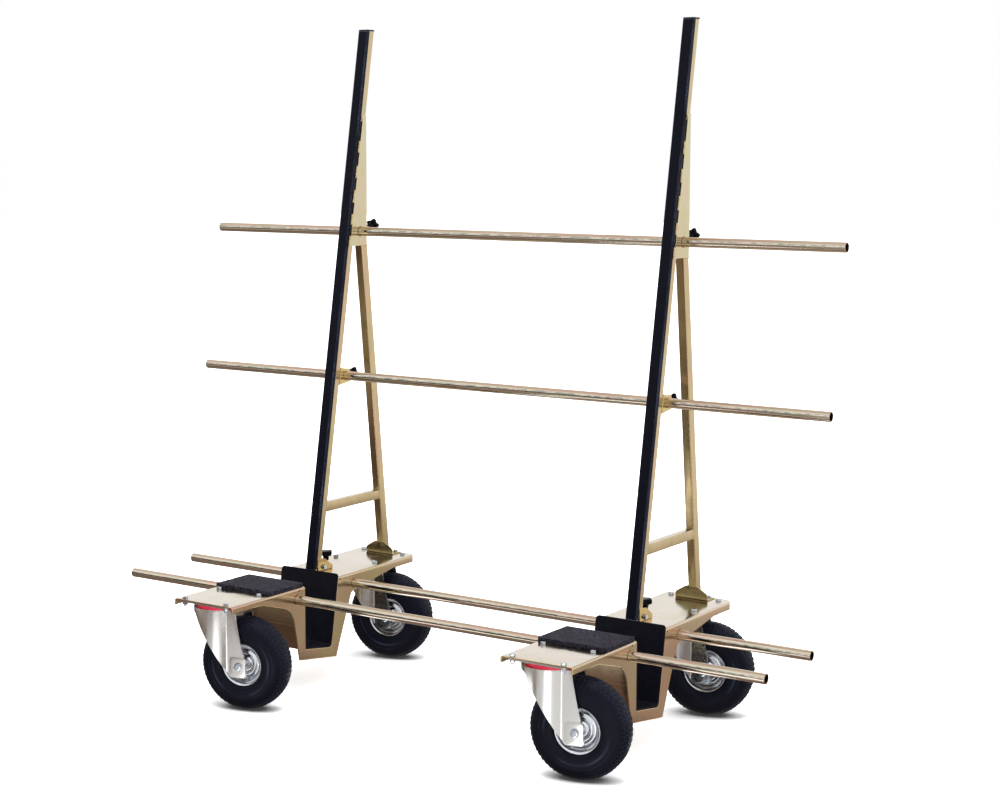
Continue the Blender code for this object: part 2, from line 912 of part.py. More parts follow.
def make_foot_shoe():
    """Bent shoe on the platform: a sole with two ears that hold the foot of the upright."""
    inner = upright_side / 2 + seat_gap
    bottom = platform_height + seat_gap
    outline = rounded(
        [
            (shoe_front_y, bottom, 0),
            (carrier_front_y + shoe_tail_run, bottom, 0),
            (carrier_front_y + shoe_tail_run, platform_height + shoe_tail_height, shoe_corner_radius),
            (carrier_front_y + shoe_back_run, platform_height + shoe_rear_height, shoe_corner_radius),
            (shoe_front_y, platform_height + shoe_front_height, shoe_corner_radius),
        ]
    )
    hole = circle((shoe_bolt_y, shoe_bolt_z), bolt_radius + seat_gap, small_steps)
    shoe = prism("foot_shoe", [outline, hole], -shoe_outer, shoe_outer, "YZ")
    inside = box(
        "shoe_inside",
        (-inner, carrier_front_y - overrun, shoe_floor),
        (inner, carrier_front_y + shoe_tail_run + overrun, platform_height + shoe_front_height + overrun),
    )
    stud_hole = rod(
        "stud_hole",
        stud_radius + stud_gap,
        (0, rear_tube_y, platform_height - overrun),
        (0, rear_tube_y, platform_height + overrun),
    )
    combine(shoe, "DIFFERENCE", inside, stud_hole)
    return finished_mesh(shoe)


def make_foot_bolt():
    """Bolt and nut across the ears of the shoe, behind the upright."""
    face = shoe_outer + seat_gap
    bolt = rod(
        "foot_bolt",
        bolt_radius,
        (-face - nut_height - bolt_end, shoe_bolt_y, shoe_bolt_z),
        (face + bolt_head_height / 2, shoe_bolt_y, shoe_bolt_z),
    )
    head = hexagon(
        "head",
        bolt_flats,
        (face, shoe_bolt_y, shoe_bolt_z),
        (face + bolt_head_height, shoe_bolt_y, shoe_bolt_z),
    )
    nut = hexagon(
        "nut",
        bolt_flats,
        (-face - nut_height, shoe_bolt_y, shoe_bolt_z),
        (-face, shoe_bolt_y, shoe_bolt_z),
    )
    combine(bolt, "UNION", head, nut)
    return finished_mesh(bolt)


def make_rear_foot():
    """Bent foot of the leg: a sole bolted to the platform and a gable in front of the leg."""
    low = platform_height + seat_gap
    half = foot_width / 2
    ridge = foot_ridge_width / 2
    top = platform_height + foot_height
    side = platform_height + foot_side_height
    gable = prism(
        "rear_foot",
        [
            rounded(
                [
                    (-half, low, 0),
                    (half, low, 0),
                    (half, side, foot_corner_radius),
                    (ridge, top, foot_corner_radius),
                    (-ridge, top, foot_corner_radius),
                    (-half, side, foot_corner_radius),
                ]
            )
        ],
        foot_gable_y,
        foot_gable_y + foot_sheet,
        "XZ",
    )
    sole = prism(
        "sole",
        [
            soft_rectangle(
                (-half, foot_gable_y + foot_sheet / 2),
                (half, foot_gable_y + foot_depth),
                foot_corner_radius / 4,
            )
        ],
        low,
        low + foot_sheet,
        "XY",
    )
    combine(gable, "UNION", sole)
    bolt_y = foot_gable_y + foot_depth - foot_bolt_margin
    under = platform_height - base_sheet - seat_gap
    for side_x in (-1, 1):
        x = side_x * foot_bolt_spread / 2
        shank = rod(
            "shank",
            small_bolt_diameter / 2,
            (x, bolt_y, under - nut_height / 2),
            (x, bolt_y, low + foot_sheet),
            hexagon_steps,
        )
        nut = hexagon("nut", small_bolt_flats, (x, bolt_y, under - nut_height), (x, bolt_y, under))
        head = hexagon(
            "head",
            small_bolt_flats,
            (x, bolt_y, low + foot_sheet / 2),
            (x, bolt_y, low + foot_sheet + small_bolt_head_height),
        )
        combine(gable, "UNION", head, shank, nut)
    return finished_mesh(gable)


def make_knob(reach):
    """Star knob on its stud, along +Z from the axis of the tube that it clamps."""
    head_start = reach + knob_hub_length
    hub = turned(
        "knob",
        [
            (0, head_start + knob_thickness / 2),
            (knob_hub_diameter / 2, head_start + knob_thickness / 2),
            (knob_hub_diameter / 2, reach),
            (stud_radius, reach),
            (stud_radius, tube_radius + seat_gap),
            (0, tube_radius + seat_gap),
        ],
        small_steps,
        closed=False,
    )
    steps = knob_lobe_steps * knob_lobes
    turns = [2 * math.pi * i / steps for i in range(steps)]
    radii = [knob_diameter / 2 - knob_lobe_depth / 2 * (1 - math.cos(knob_lobes * a)) for a in turns]
    loop = [(r * math.cos(a), r * math.sin(a)) for r, a in zip(radii, turns)]
    star = prism("star", [loop], head_start, head_start + knob_thickness, "XY")
    edge = star.modifiers.new("soft_edge", "BEVEL")
    edge.width = knob_edge_radius
    edge.segments = 1
    edge.limit_method = "ANGLE"
    edge.angle_limit = bevelled_angle
    combine(star, "UNION", hub)
    return finished_mesh(star)


def make_tube():
    """Plain steel tube, open at both ends."""
    loops = [circle((0, 0), tube_radius), circle((0, 0), tube_radius - tube_wall)]
    return finished_mesh(prism("tube", loops, -tube_length / 2, tube_length / 2, "YZ"))


def make_caster_plate():
    """Top plate of a caster with its four bolts, upper race and king pin, about the swivel axis."""
    half_x = caster_plate_width / 2
    half_y = caster_plate_length / 2
    plate = prism(
        "caster_plate",
        [soft_rectangle((-half_x, -half_y), (half_x, half_y), caster_plate_corner)],
        caster_plate_bottom,
        caster_plate_top,
        "XY",
    )
    race_bottom = fork_top + race_height / 2 + seat_gap
    pin_bottom = fork_top - fork_sheet - seat_gap
    pin = turned(
        "king_pin",
        [
            (0, caster_plate_bottom + caster_plate_sheet / 2),
            (race_diameter / 2, caster_plate_bottom + caster_plate_sheet / 2),
            (race_diameter / 2, race_bottom),
            (king_pin_diameter / 2, race_bottom),
            (king_pin_diameter / 2, pin_bottom),
            (king_head_diameter / 2, pin_bottom),
            (king_head_diameter / 2, pin_bottom - king_head_height),
            (0, pin_bottom - king_head_height),
        ],
        small_steps,
        closed=False,
    )
    combine(plate, "UNION", pin)
    for side_x in (-1, 1):
        for side_y in (-1, 1):
            x = side_x * caster_bolt_width / 2
            y = side_y * caster_bolt_length / 2
            head_low = platform_height + seat_gap
            shank = rod(
                "shank",
                bolt_radius,
                (x, y, caster_plate_bottom + caster_plate_sheet / 2),
                (x, y, head_low + bolt_head_height / 2),
                hexagon_steps,
            )
            head = hexagon("head", bolt_flats, (x, y, head_low), (x, y, head_low + bolt_head_height))
            combine(plate, "UNION", shank, head)
    return finished_mesh(plate)


def make_swivel_seal():
    """Red ring that covers the swivel race."""
    outer = seal_diameter / 2
    profile = [
        (outer, seal_top),
        (outer, seal_top - seal_height),
        (outer - seal_width, seal_top - seal_height),
        (outer - seal_width, seal_top),
    ]
    return finished_mesh(turned("swivel_seal", profile, round_steps))


def make_fork():
    """Pressed fork with a round crown and nose, two legs, raised pads at the axle and the lower race."""
    inner = fork_inside / 2
    outer = fork_outside / 2
    far = fork_heel + overrun
    nose_centre = fork_nose_radius - fork_nose

    def plan(radius, half, reach):
        start = math.asin(half / radius)
        sweep = 2 * (math.pi - start)
        arc = [start + sweep * i / nose_steps for i in range(nose_steps + 1)]
        nose = [(nose_centre + radius * math.cos(a), radius * math.sin(a)) for a in arc]
        return [(reach, half)] + nose + [(reach, -half)]

    axle_height = wheel_radius
    foot = axle_height - fork_foot_below_axle
    body = prism("fork", [plan(fork_nose_radius, outer, far)], foot - overrun, fork_top, "XY")
    hollow = prism(
        "fork_hollow",
        [plan(fork_nose_radius - fork_sheet, inner, far + overrun)],
        foot - 2 * overrun,
        fork_top - fork_sheet,
        "XY",
    )
    heel_slope = (fork_heel - fork_crown_end) / (fork_top - foot)
    side = prism(
        "fork_side",
        [
            rounded(
                [
                    (-fork_nose - overrun, fork_top + overrun, 0),
                    (-fork_nose - overrun, fork_top - fork_shoulder_drop, 0),
                    (-fork_shoulder, fork_top - fork_shoulder_drop, fork_flank_radius),
                    (fork_toe, foot, fork_corner_radius),
                    (fork_heel, foot, fork_corner_radius),
                    (fork_crown_end - heel_slope * overrun, fork_top + overrun, 0),
                ]
            ),
            circle((caster_trail, axle_height), axle_diameter / 2 + seat_gap, small_steps),
        ],
        -fork_nose_radius - overrun,
        fork_nose_radius + overrun,
        "XZ",
    )
    pads = []
    half_pad = fork_pad_width / 2
    pad_top = foot + fork_pad_height
    for side_y in (-1, 1):
        near, out = sorted((side_y * (outer - fork_sheet / 2), side_y * (outer + fork_pad_rise)))
        pads.append(
            prism(
                "fork_pad",
                [
                    soft_rectangle(
                        (caster_trail - half_pad, foot + fork_pad_rise),
                        (caster_trail + half_pad - 2 * fork_pad_rise, pad_top),
                        fork_pad_radius,
                    ),
                    circle((caster_trail, axle_height), axle_diameter / 2 + seat_gap, small_steps),
                ],
                near,
                out,
                "XZ",
            )
        )
    pin_hole_radius = (king_pin_diameter / 2 + seat_gap) / math.cos(math.pi / small_steps)
    crown = rod(
        "fork_crown",
        fork_crown_diameter / 2,
        (0, 0, fork_top - fork_sheet),
        (0, 0, fork_top),
        round_steps,
    )
    race = rod(
        "lower_race",
        race_diameter / 2,
        (0, 0, fork_top - fork_sheet / 2),
        (0, 0, fork_top + race_height / 2),
        small_steps,
    )
    pin_hole = rod(
        "pin_hole",
        pin_hole_radius,
        (0, 0, fork_top - fork_sheet - overrun),
        (0, 0, fork_top + overrun),
        small_steps,
    )
    combine(body, "DIFFERENCE", hollow)
    combine(body, "INTERSECT", side)
    combine(body, "UNION", *pads, crown, race)
    combine(body, "DIFFERENCE", pin_hole)
    return finished_mesh(body)


def make_axle_bolt():
    """Axle bolt through the fork and the hub, along Y about the wheel's centre."""
    face = fork_outside / 2 + fork_pad_rise + seat_gap
    bolt = rod(
        "axle_bolt",
        axle_diameter / 2,
        (0, -face - axle_head_height - bolt_end, 0),
        (0, face + bolt_end, 0),
    )
    nut = hexagon("nut", axle_flats, (0, -face - axle_head_height, 0), (0, -face, 0))
    head = hexagon("head", axle_flats, (0, face, 0), (0, face + axle_head_height, 0))
    combine(bolt, "UNION", nut, head)
    return finished_mesh(bolt)


def make_rim():
    """Pressed rim with dished faces, turned about Y."""
    hub_half = fork_inside / 2 - seat_gap
    hub = hub_diameter / 2
    bore = axle_diameter / 2 + seat_gap
    seat = bead_diameter / 2 - seat_gap
    well = seat - rim_sheet
    lip = flange_diameter / 2
    flange_half = flange_width / 2
    face_span = well - hub
    face_depth = flange_half - rim_dish
    ring_radius_share, ring_dish_share = rim_ring_shares
    upper = [
        (bore, hub_half),
        (hub, hub_half),
        (hub, face_depth),
        (hub + ring_radius_share * face_span, flange_half - rim_dish * ring_dish_share),
        (well, flange_half - 2 * rim_sheet),
        (lip - rim_sheet / 2, flange_half),
        (lip, flange_half - rim_sheet),
        (seat, flange_half - 2 * rim_sheet),
    ]
    lower = [(r, -z) for r, z in reversed(upper)]
    turned_rim = turned("rim", upper + lower, rim_steps)
    return finished_mesh(turned_rim, wheel_turn)


def make_tyre():
    """Pneumatic tyre, open towards the rim, turned about Y with a flat of its facets on the floor."""
    bead = bead_diameter / 2
    half = tyre_width / 2
    span = wheel_radius - bead
    bead_half = flange_width / 2 - 2 * rim_sheet - seat_gap
    lip_clear = flange_diameter / 2 + seat_gap
    outer = [(bead + r * span, half * w) for r, w in tyre_outer_shares]
    inner_half = half - tyre_wall
    inner = [(bead + r * (span - tyre_wall), inner_half * w) for r, w in tyre_inner_shares]
    upper = [(bead, bead_half - bead_width), (bead, bead_half), (lip_clear, bead_half + rim_sheet - seat_gap)]
    loop = upper + outer + [(r, -w) for r, w in reversed(upper + outer)]
    loop += [(r, -w) for r, w in inner] + [(r, w) for r, w in reversed(inner)]
    turned_tyre = turned("tyre", loop, tyre_steps)
    level = 1 / math.cos(math.pi / tyre_steps)
    return finished_mesh(
        turned_tyre,
        wheel_turn @ Matrix.Rotation(math.pi / tyre_steps, 4, "Z") @ Matrix.Diagonal((level, level, 1, 1)),
    )


def empty(name, location, turn=0, parent=None):
    """A named frame that carries pieces."""
    frame = bpy.data.objects.new(name, None)
    frame.empty_display_size = tube_diameter
    frame.location = location
    frame.rotation_euler = (0, 0, turn)
    frame.parent = parent
    parts.objects.link(frame)
    return frame


def place(name, mesh, material, parent=None, location=(0, 0, 0), rotation=(0, 0, 0)):
    """A finished piece in the part."""
    if not mesh.materials:
        mesh.materials.append(materials[material])
    piece = bpy.data.objects.new(name, mesh)
    piece.location = location
    piece.rotation_euler = rotation
    piece.parent = parent
    parts.objects.link(piece)
    return piece


unit_pieces = {
    "base_frame": (make_base_frame(), "yellow_zinc"),
    "slot_liner": (make_slot_liner(), "black_rubber"),
    "loading_pad": (make_loading_pad(), "speckled_pad"),
    "upright_tube": (make_upright(), "yellow_zinc"),
    "upright_rubber": (make_upright_rubber(), "black_rubber"),
    "upright_cap": (make_upright_cap(), "black_plastic"),
    "rear_leg": (make_rear_leg(), "yellow_zinc"),
    "crossbar": (make_crossbar(), "yellow_zinc"),
    "gusset": (make_gusset(), "yellow_zinc"),
    "middle_bracket": (make_middle_bracket(), "yellow_zinc"),
    "foot_shoe": (make_foot_shoe(), "yellow_zinc"),
    "foot_bolt": (make_foot_bolt(), "bright_zinc"),
    "rear_foot": (make_rear_foot(), "yellow_zinc"),
}
knobs = {
    "upper_knob": (
        make_knob(upper_knob_reach),
        (0, upper_tube_y, upper_tube_height),
        (upper_knob_tilt - math.pi / 2, 0, 0),
    ),
    "middle_knob": (
        make_knob(middle_knob_reach),
        (0, middle_tube_y, middle_tube_height),
        (-math.pi / 2, 0, 0),
    ),
    "base_knob": (
        make_knob(base_knob_reach),
        (0, rear_tube_y, floor_tube_height),
        (0, 0, 0),
    ),
}
tube_places = {
    "upper_tube": (upper_tube_y, upper_tube_height),
    "middle_tube": (middle_tube_y, middle_tube_height),
    "rear_floor_tube": (rear_tube_y, floor_tube_height),
    "front_floor_tube": (front_tube_y, floor_tube_height),
}
caster_plate_mesh = make_caster_plate()
seal_mesh = make_swivel_seal()
fork_mesh = make_fork()
axle_mesh = make_axle_bolt()
rim_mesh = make_rim()
tyre_mesh = make_tyre()

for unit_name, unit_x in unit_places.items():
    unit = empty(f"{unit_name}_unit", (unit_x, 0, 0))
    for piece_name, (piece_mesh, piece_material) in unit_pieces.items():
        place(f"{piece_name}_{unit_name}", piece_mesh, piece_material, unit)
    for knob_name, (knob_mesh, knob_place, knob_turn) in knobs.items():
        place(f"{knob_name}_{unit_name}", knob_mesh, "black_plastic", unit, knob_place, knob_turn)
    for caster_name, caster_y in caster_places.items():
        tag = f"{unit_name}_{caster_name}"
        place(f"caster_plate_{tag}", caster_plate_mesh, "bright_zinc", unit, (0, caster_y, 0))
        swivel = empty(f"swivel_{tag}", (0, caster_y, 0), caster_turn, unit)
        place(f"swivel_seal_{tag}", seal_mesh, "red_seal", swivel)
        place(f"fork_{tag}", fork_mesh, "bright_zinc", swivel)
        axle = empty(f"axle_{tag}", (caster_trail, 0, wheel_radius), 0, swivel)
        place(f"axle_bolt_{tag}", axle_mesh, "bright_zinc", axle)
        place(f"rim_{tag}", rim_mesh, "rim_zinc", axle)
        place(f"tyre_{tag}", tyre_mesh, "tyre_rubber", axle)
tube_mesh = make_tube()
for tube_name, (tube_y, tube_z) in tube_places.items():
    place(tube_name, tube_mesh, "yellow_zinc", None, (0, tube_y, tube_z))

for tool in list(cutters.objects):
    bpy.data.objects.remove(tool, do_unlink=True)
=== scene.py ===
# %% [markdown]
# # Dressing a carrier for glass panes
# This lesson takes a plain model of a workshop cart and gives it the surfaces of the real one. The cart has two
# floor units on swivel casters. Each unit carries an upright that leans back, and four tubes join the units. The
# plain model is loaded first, and it never moves: every finished piece is made where the plain piece already is.

# %% Load the plain model
import json
import math

import bmesh
import bpy
import numpy as np
from mathutils import Matrix, Vector

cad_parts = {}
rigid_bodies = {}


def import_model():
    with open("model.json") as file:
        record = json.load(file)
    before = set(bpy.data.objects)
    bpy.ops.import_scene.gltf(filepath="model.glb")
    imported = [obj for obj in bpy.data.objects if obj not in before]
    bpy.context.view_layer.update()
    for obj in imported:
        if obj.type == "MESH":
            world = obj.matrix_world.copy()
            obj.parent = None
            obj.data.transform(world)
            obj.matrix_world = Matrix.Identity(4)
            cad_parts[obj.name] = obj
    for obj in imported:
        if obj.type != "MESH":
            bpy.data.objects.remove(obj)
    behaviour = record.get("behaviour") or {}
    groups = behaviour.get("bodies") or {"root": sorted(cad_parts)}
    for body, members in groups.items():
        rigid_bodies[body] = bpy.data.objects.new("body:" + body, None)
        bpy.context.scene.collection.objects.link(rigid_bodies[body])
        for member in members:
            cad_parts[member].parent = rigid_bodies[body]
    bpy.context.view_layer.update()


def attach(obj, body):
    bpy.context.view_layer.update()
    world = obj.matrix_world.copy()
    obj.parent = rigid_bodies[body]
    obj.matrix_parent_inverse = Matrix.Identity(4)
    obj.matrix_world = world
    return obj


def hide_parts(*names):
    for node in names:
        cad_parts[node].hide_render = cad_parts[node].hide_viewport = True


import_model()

# %% [markdown]
# ## The camera
# A product photograph is taken from far away with a long lens, so that parallel tubes stay nearly parallel. The
# place, the aim and the lens below were worked out from the lines of the photograph. Building the camera's three
# axes by hand, instead of turning it with angles, keeps every number readable.

# %% Camera
camera_place = Vector((3.0554, -4.3150, 1.5558))
yaw, pitch, roll = 0.5912, -0.1265, 0.0020
forward = Vector((-math.sin(yaw) * math.cos(pitch), math.cos(yaw) * math.cos(pitch), math.sin(pitch)))
level_right = Vector((math.cos(yaw), math.sin(yaw), 0))
level_up = level_right.cross(forward)
right = level_right * math.cos(roll) + level_up * math.sin(roll)
up = level_up * math.cos(roll) - level_right * math.sin(roll)
camera_data = bpy.data.cameras.new("camera")
camera_data.sensor_width = 36
camera_data.lens = 70.19
camera_data.shift_x = 0.0048
camera_data.shift_y = -0.0084
camera = bpy.data.objects.new("camera", camera_data)
axes = Matrix((right, up, -forward)).transposed().to_4x4()
camera.matrix_world = Matrix.Translation(camera_place) @ axes
bpy.context.scene.collection.objects.link(camera)
bpy.context.scene.camera = camera
print("camera lens:", round(camera_data.lens, 1), "mm")

# %% [markdown]
# ## Building shaders in code
# A material is a small tree of nodes. The first helper adds a node, sets its inputs by name and links any input that
# is given a socket. The others are short names for sums, blends and textures, so that each material below reads like
# a recipe.

# %% Helpers that add nodes


def add(tree, kind, inputs=None, **settings):
    """A node in a tree; an input is set to a value or linked to a socket."""
    node = tree.nodes.new(kind)
    for name, value in settings.items():
        setattr(node, name, value)
    for name, value in (inputs or {}).items():
        socket = node.inputs[name]
        if isinstance(value, bpy.types.NodeSocket):
            tree.links.new(value, socket)
        else:
            socket.default_value = value
    return node


def blend_colours(tree, share, first, second, kind="MIX"):
    """The colour between two others."""
    mix = add(tree, "ShaderNodeMix", data_type="RGBA", blend_type=kind)
    for socket, value in ((mix.inputs[0], share), (mix.inputs[6], first), (mix.inputs[7], second)):
        if isinstance(value, bpy.types.NodeSocket):
            tree.links.new(value, socket)
        elif isinstance(value, (int, float)):
            socket.default_value = value
        else:
            socket.default_value = (*value, 1.0)
    return mix.outputs[2]


def arithmetic(tree, kind, first, second=0.0, clamp=False):
    """The result of one sum."""
    node = add(tree, "ShaderNodeMath", operation=kind, use_clamp=clamp)
    for socket, value in zip(node.inputs, (first, second)):
        if isinstance(value, bpy.types.NodeSocket):
            tree.links.new(value, socket)
        else:
            socket.default_value = value
    return node.outputs[0]


def times(tree, first, second, clamp=False):
    """Two values multiplied."""
    return arithmetic(tree, "MULTIPLY", first, second, clamp)


def spread(tree, value, low, high, new_low=0.0, new_high=1.0):
    """A value's range moved to another range."""
    ends = {"From Min": low, "From Max": high, "To Min": new_low, "To Max": new_high}
    return add(tree, "ShaderNodeMapRange", {"Value": value, **ends}).outputs["Result"]


def noise(tree, vector, scale, detail, **more):
    """The value of a noise texture."""
    inputs = {
        "Vector": vector, "Scale": scale, "Detail": detail, **{name.title(): value for name, value in more.items()},
    }
    return add(tree, "ShaderNodeTexNoise", inputs).outputs["Fac"]


def along_axes(tree, vector):
    """The three outputs X, Y and Z of a vector."""
    return add(tree, "ShaderNodeSeparateXYZ", {"Vector": vector}).outputs


def stretch(tree, vector, scale, turn=(0, 0, 0)):
    """Coordinates scaled by a different amount along each axis."""
    return add(tree, "ShaderNodeMapping", {"Vector": vector, "Scale": scale, "Rotation": turn}).outputs["Vector"]


# %% [markdown]
# ## The studio
# The floor and the background are white to the camera. The trick is the Light Path node: a ray from the camera, or
# one that metal has mirrored, sees plain white, and every other ray sees an ordinary, dimmer studio.

# %% Sky
world = bpy.data.worlds.new("studio")
world.use_nodes = True
sky = world.node_tree
sky.nodes.clear()
path = add(sky, "ShaderNodeLightPath")
seen = arithmetic(sky, "MAXIMUM", path.outputs["Is Camera Ray"], path.outputs["Is Glossy Ray"])
seen = arithmetic(sky, "MAXIMUM", seen, path.outputs["Is Transmission Ray"])
dim = add(sky, "ShaderNodeBackground", {"Color": (0.97, 0.98, 1.0, 1), "Strength": 0.50})
white = add(sky, "ShaderNodeBackground", {"Color": (1, 1, 1, 1), "Strength": 1.0})
choice = add(sky, "ShaderNodeMixShader", {0: seen, 1: dim.outputs[0], 2: white.outputs[0]})
add(sky, "ShaderNodeOutputWorld", {"Surface": choice.outputs[0]})
bpy.context.scene.world = world
print("sky nodes:", len(sky.nodes))

# %% [markdown]
# The floor has two looks. To the camera it is white, and an Ambient Occlusion node darkens it close under each tyre,
# where a shadow is deepest. To a mirrored ray it glows in dull browns, which give the zinc its warm lower tones.

# %% Floor


def stage_card(name, points, faces):
    """A mesh that belongs to the studio and not to the cart."""
    mesh = bpy.data.meshes.new(name)
    mesh.from_pydata(points, [], faces)
    card = bpy.data.objects.new(name, mesh)
    bpy.context.scene.collection.objects.link(card)
    return card


def flat_card(name, centre, width, height, normal):
    """A rectangle that faces along a normal."""
    turn = Vector(normal).to_track_quat("Z", "Y").to_matrix().to_4x4()
    corners = [(x * width / 2, y * height / 2, 0) for x, y in ((-1, -1), (1, -1), (1, 1), (-1, 1))]
    return stage_card(name, [Matrix.Translation(centre) @ turn @ Vector(c) for c in corners], [(0, 1, 2, 3)])


floor_paint = bpy.data.materials.new("studio_floor")
floor_paint.use_nodes = True
tree = floor_paint.node_tree
tree.nodes.clear()
path = add(tree, "ShaderNodeLightPath")
place = add(tree, "ShaderNodeTexCoord").outputs["Object"]
nearness = add(tree, "ShaderNodeAmbientOcclusion", {"Distance": 0.11}, samples=16)
clear = spread(tree, nearness.outputs["AO"], 0.25, 0.80, 0.03, 1.0)
tone = blend_colours(tree, path.outputs["Is Camera Ray"], (0.86, 0.86, 0.86), times(tree, clear, 2.1))
paint = add(tree, "ShaderNodeBsdfDiffuse", {"Color": tone})
away = add(tree, "ShaderNodeVectorMath", {0: place}, operation="LENGTH")
lift_share = spread(tree, away.outputs["Value"], 1.2, 4.0, 0.04, 0.90)
seen = path.outputs["Is Camera Ray"]
lift = add(tree, "ShaderNodeEmission", {"Color": (1, 1, 1, 1), "Strength": times(tree, seen, lift_share)})
both = add(tree, "ShaderNodeAddShader", {0: paint.outputs[0], 1: lift.outputs[0]})
# Painted reflection: mirrored rays see the floor darker towards the left and front, with a painted shadow in a strip
# under the cart, and paler far away.
leftwards = add(tree, "ShaderNodeVectorMath", {0: place, 1: (-0.53, -0.84, 0)}, operation="DOT_PRODUCT")
shade = spread(tree, leftwards.outputs["Value"], -0.2, 0.9)
dull_tone = blend_colours(tree, shade, (0.46, 0.39, 0.33), (0.16, 0.13, 0.11))
across = along_axes(tree, place)
strip = arithmetic(tree, "ABSOLUTE", arithmetic(tree, "ADD", across["Y"], 0.16))
dull_tone = blend_colours(tree, spread(tree, strip, 0.42, 0.26), dull_tone, (0.22, 0.17, 0.145))
dull_tone = blend_colours(tree, spread(tree, leftwards.outputs["Value"], -1.3, -3.2), dull_tone, (0.95, 0.90, 0.86))
dull_tone = blend_colours(tree, spread(tree, leftwards.outputs["Value"], 1.9, 2.8), dull_tone, (0.52, 0.45, 0.39))
dull = add(tree, "ShaderNodeEmission", {"Color": dull_tone, "Strength": 1.0})
surface = add(tree, "ShaderNodeMixShader", {0: path.outputs["Is Glossy Ray"], 1: both.outputs[0], 2: dull.outputs[0]})
add(tree, "ShaderNodeOutputMaterial", {"Surface": surface.outputs[0]})
floor = flat_card("studio_floor", (0, 0, 0), 60, 60, (0, 0, 1))
floor.data.materials.append(floor_paint)
print("floor nodes:", len(tree.nodes))

# %% [markdown]
# What shines is shaped by cards, which only mirrored rays see. An unlit one gives every tube the dark line that
# shiny pipe always has. Slices of a ring lie on the floor round each caster: a lit one makes the bright streak down
# the nose of a fork, and the pale and dark ones beside it make the streak's soft and hard borders.

# %% Cards


def only_mirrored(card, glow):
    """Gives a card its glow, and hides it from all but mirrored rays."""
    paint = bpy.data.materials.new(card.name)
    paint.use_nodes = True
    paint.node_tree.nodes.clear()
    light = add(paint.node_tree, "ShaderNodeEmission", {"Color": (*glow, 1), "Strength": 1.0})
    add(paint.node_tree, "ShaderNodeOutputMaterial", {"Surface": light.outputs[0]})
    paint.cycles.emission_sampling = "NONE"
    card.data.materials.append(paint)
    for ray in (
        "visible_camera", "visible_diffuse", "visible_shadow", "visible_transmission", "visible_volume_scatter",
    ):
        setattr(card, ray, False)


only_mirrored(flat_card("unlit_card", (-2.7, -3.9, 0.78), 3.4, 1.5, (0.54, 0.84, 0)), (0.06, 0.045, 0.04))
only_mirrored(flat_card("ceiling_card", (0, 2.7, 4.2), 12, 8.5, (0, 0, -1)), (0.74, 0.63, 0.56))
only_mirrored(flat_card("grey_card", (0.2, -5.4, 1.3), 2.4, 2.6, (0, 1, 0)), (0.60, 0.60, 0.60))


def fan_card(name, centre, angles, reaches, glow):
    """A card that lies on the floor as a slice of a ring, from one angle to another."""
    turns = np.radians(np.linspace(*angles, 9))
    arcs = [[(centre[0] + r * math.cos(a), centre[1] + r * math.sin(a), 0.003) for a in turns] for r in reaches]
    only_mirrored(stage_card(name, arcs[0] + arcs[1], [(i, i + 1, i + 10, i + 9) for i in range(8)]), glow)


unit_places, caster_places = {"left": -0.5194, "right": 0.5636}, {"front": -0.3442, "rear": 0.3216}
for side, reach, last in (("left", 1.0, -40), ("right", 1.9, -5)):
    front, rear = ((unit_places[side], y) for y in caster_places.values())
    for name, centre, angles, reaches, glow in (
        ("pale_fan_", front, (-108, -76), (0.12, reach), 0.68), ("lit_fan_", front, (-76, -52), (0.12, reach), 2.3),
        ("soft_fan_", front, (-52, last), (0.12, reach), 0.80), ("dark_fan_", rear, (-115, -80), (0.10, 0.5), 0.10),
        ("rear_fan_", rear, (-72, -54), (0.16, 0.48), 1.9),
    ):
        fan_card(name + side, centre, angles, reaches, (glow,) * 3)

# %% [markdown]
# Large soft lamps light what is dull. Metal would mirror them as squares, so mirrored rays don't see them.

# %% Lamps


def soft_lamp(name, place, aim, size, power, shadow):
    """A square area lamp pointed at a place, with or without a shadow."""
    lamp = bpy.data.lights.new(name, "AREA")
    lamp.size = size
    lamp.energy = power
    lamp.use_shadow = shadow
    holder = bpy.data.objects.new(name, lamp)
    turn = (Vector(aim) - Vector(place)).to_track_quat("-Z", "Y").to_matrix().to_4x4()
    holder.matrix_world = Matrix.Translation(place) @ turn
    bpy.context.scene.collection.objects.link(holder)
    holder.visible_glossy = False


soft_lamp("overhead_lamp", (0.4, -0.8, 5.2), (0, 0, 0.5), 3.6, 190, True)
soft_lamp("left_lamp", (-4.2, -3.4, 2.6), (0, 0, 0.7), 2.4, 95, False)
soft_lamp("right_lamp", (4.8, -0.6, 2.2), (0, 0, 0.7), 2.0, 60, False)
print("lamps:", len(bpy.data.lights))

# %% [markdown]
# ## Shared surface effects
# Four effects come back on many pieces, so each is a node group that is built once: the soft edge that every bent
# or cast piece has, the film of colour that a chromate bath leaves on zinc, fine grain, and settled dust. A group
# gives colours, masks and values, and the material decides how much of each to use.

# %% Soft edge


def new_group(name, inputs, outputs):
    """An empty shader group; an input is a name, a kind and mostly a first value, an output a name and a kind."""
    group = bpy.data.node_groups.new(name, "ShaderNodeTree")
    for socket, kind, *value in inputs:
        made = group.interface.new_socket(socket, in_out="INPUT", socket_type="NodeSocket" + kind)
        if value:
            made.default_value = value[0]
    for socket, kind in outputs:
        group.interface.new_socket(socket, in_out="OUTPUT", socket_type="NodeSocket" + kind)
    return group, group.nodes.new("NodeGroupInput"), group.nodes.new("NodeGroupOutput")


def placed_group(tree, group, inputs):
    """The node of a group, with its inputs set or linked."""
    return add(tree, "ShaderNodeGroup", inputs, node_tree=group)


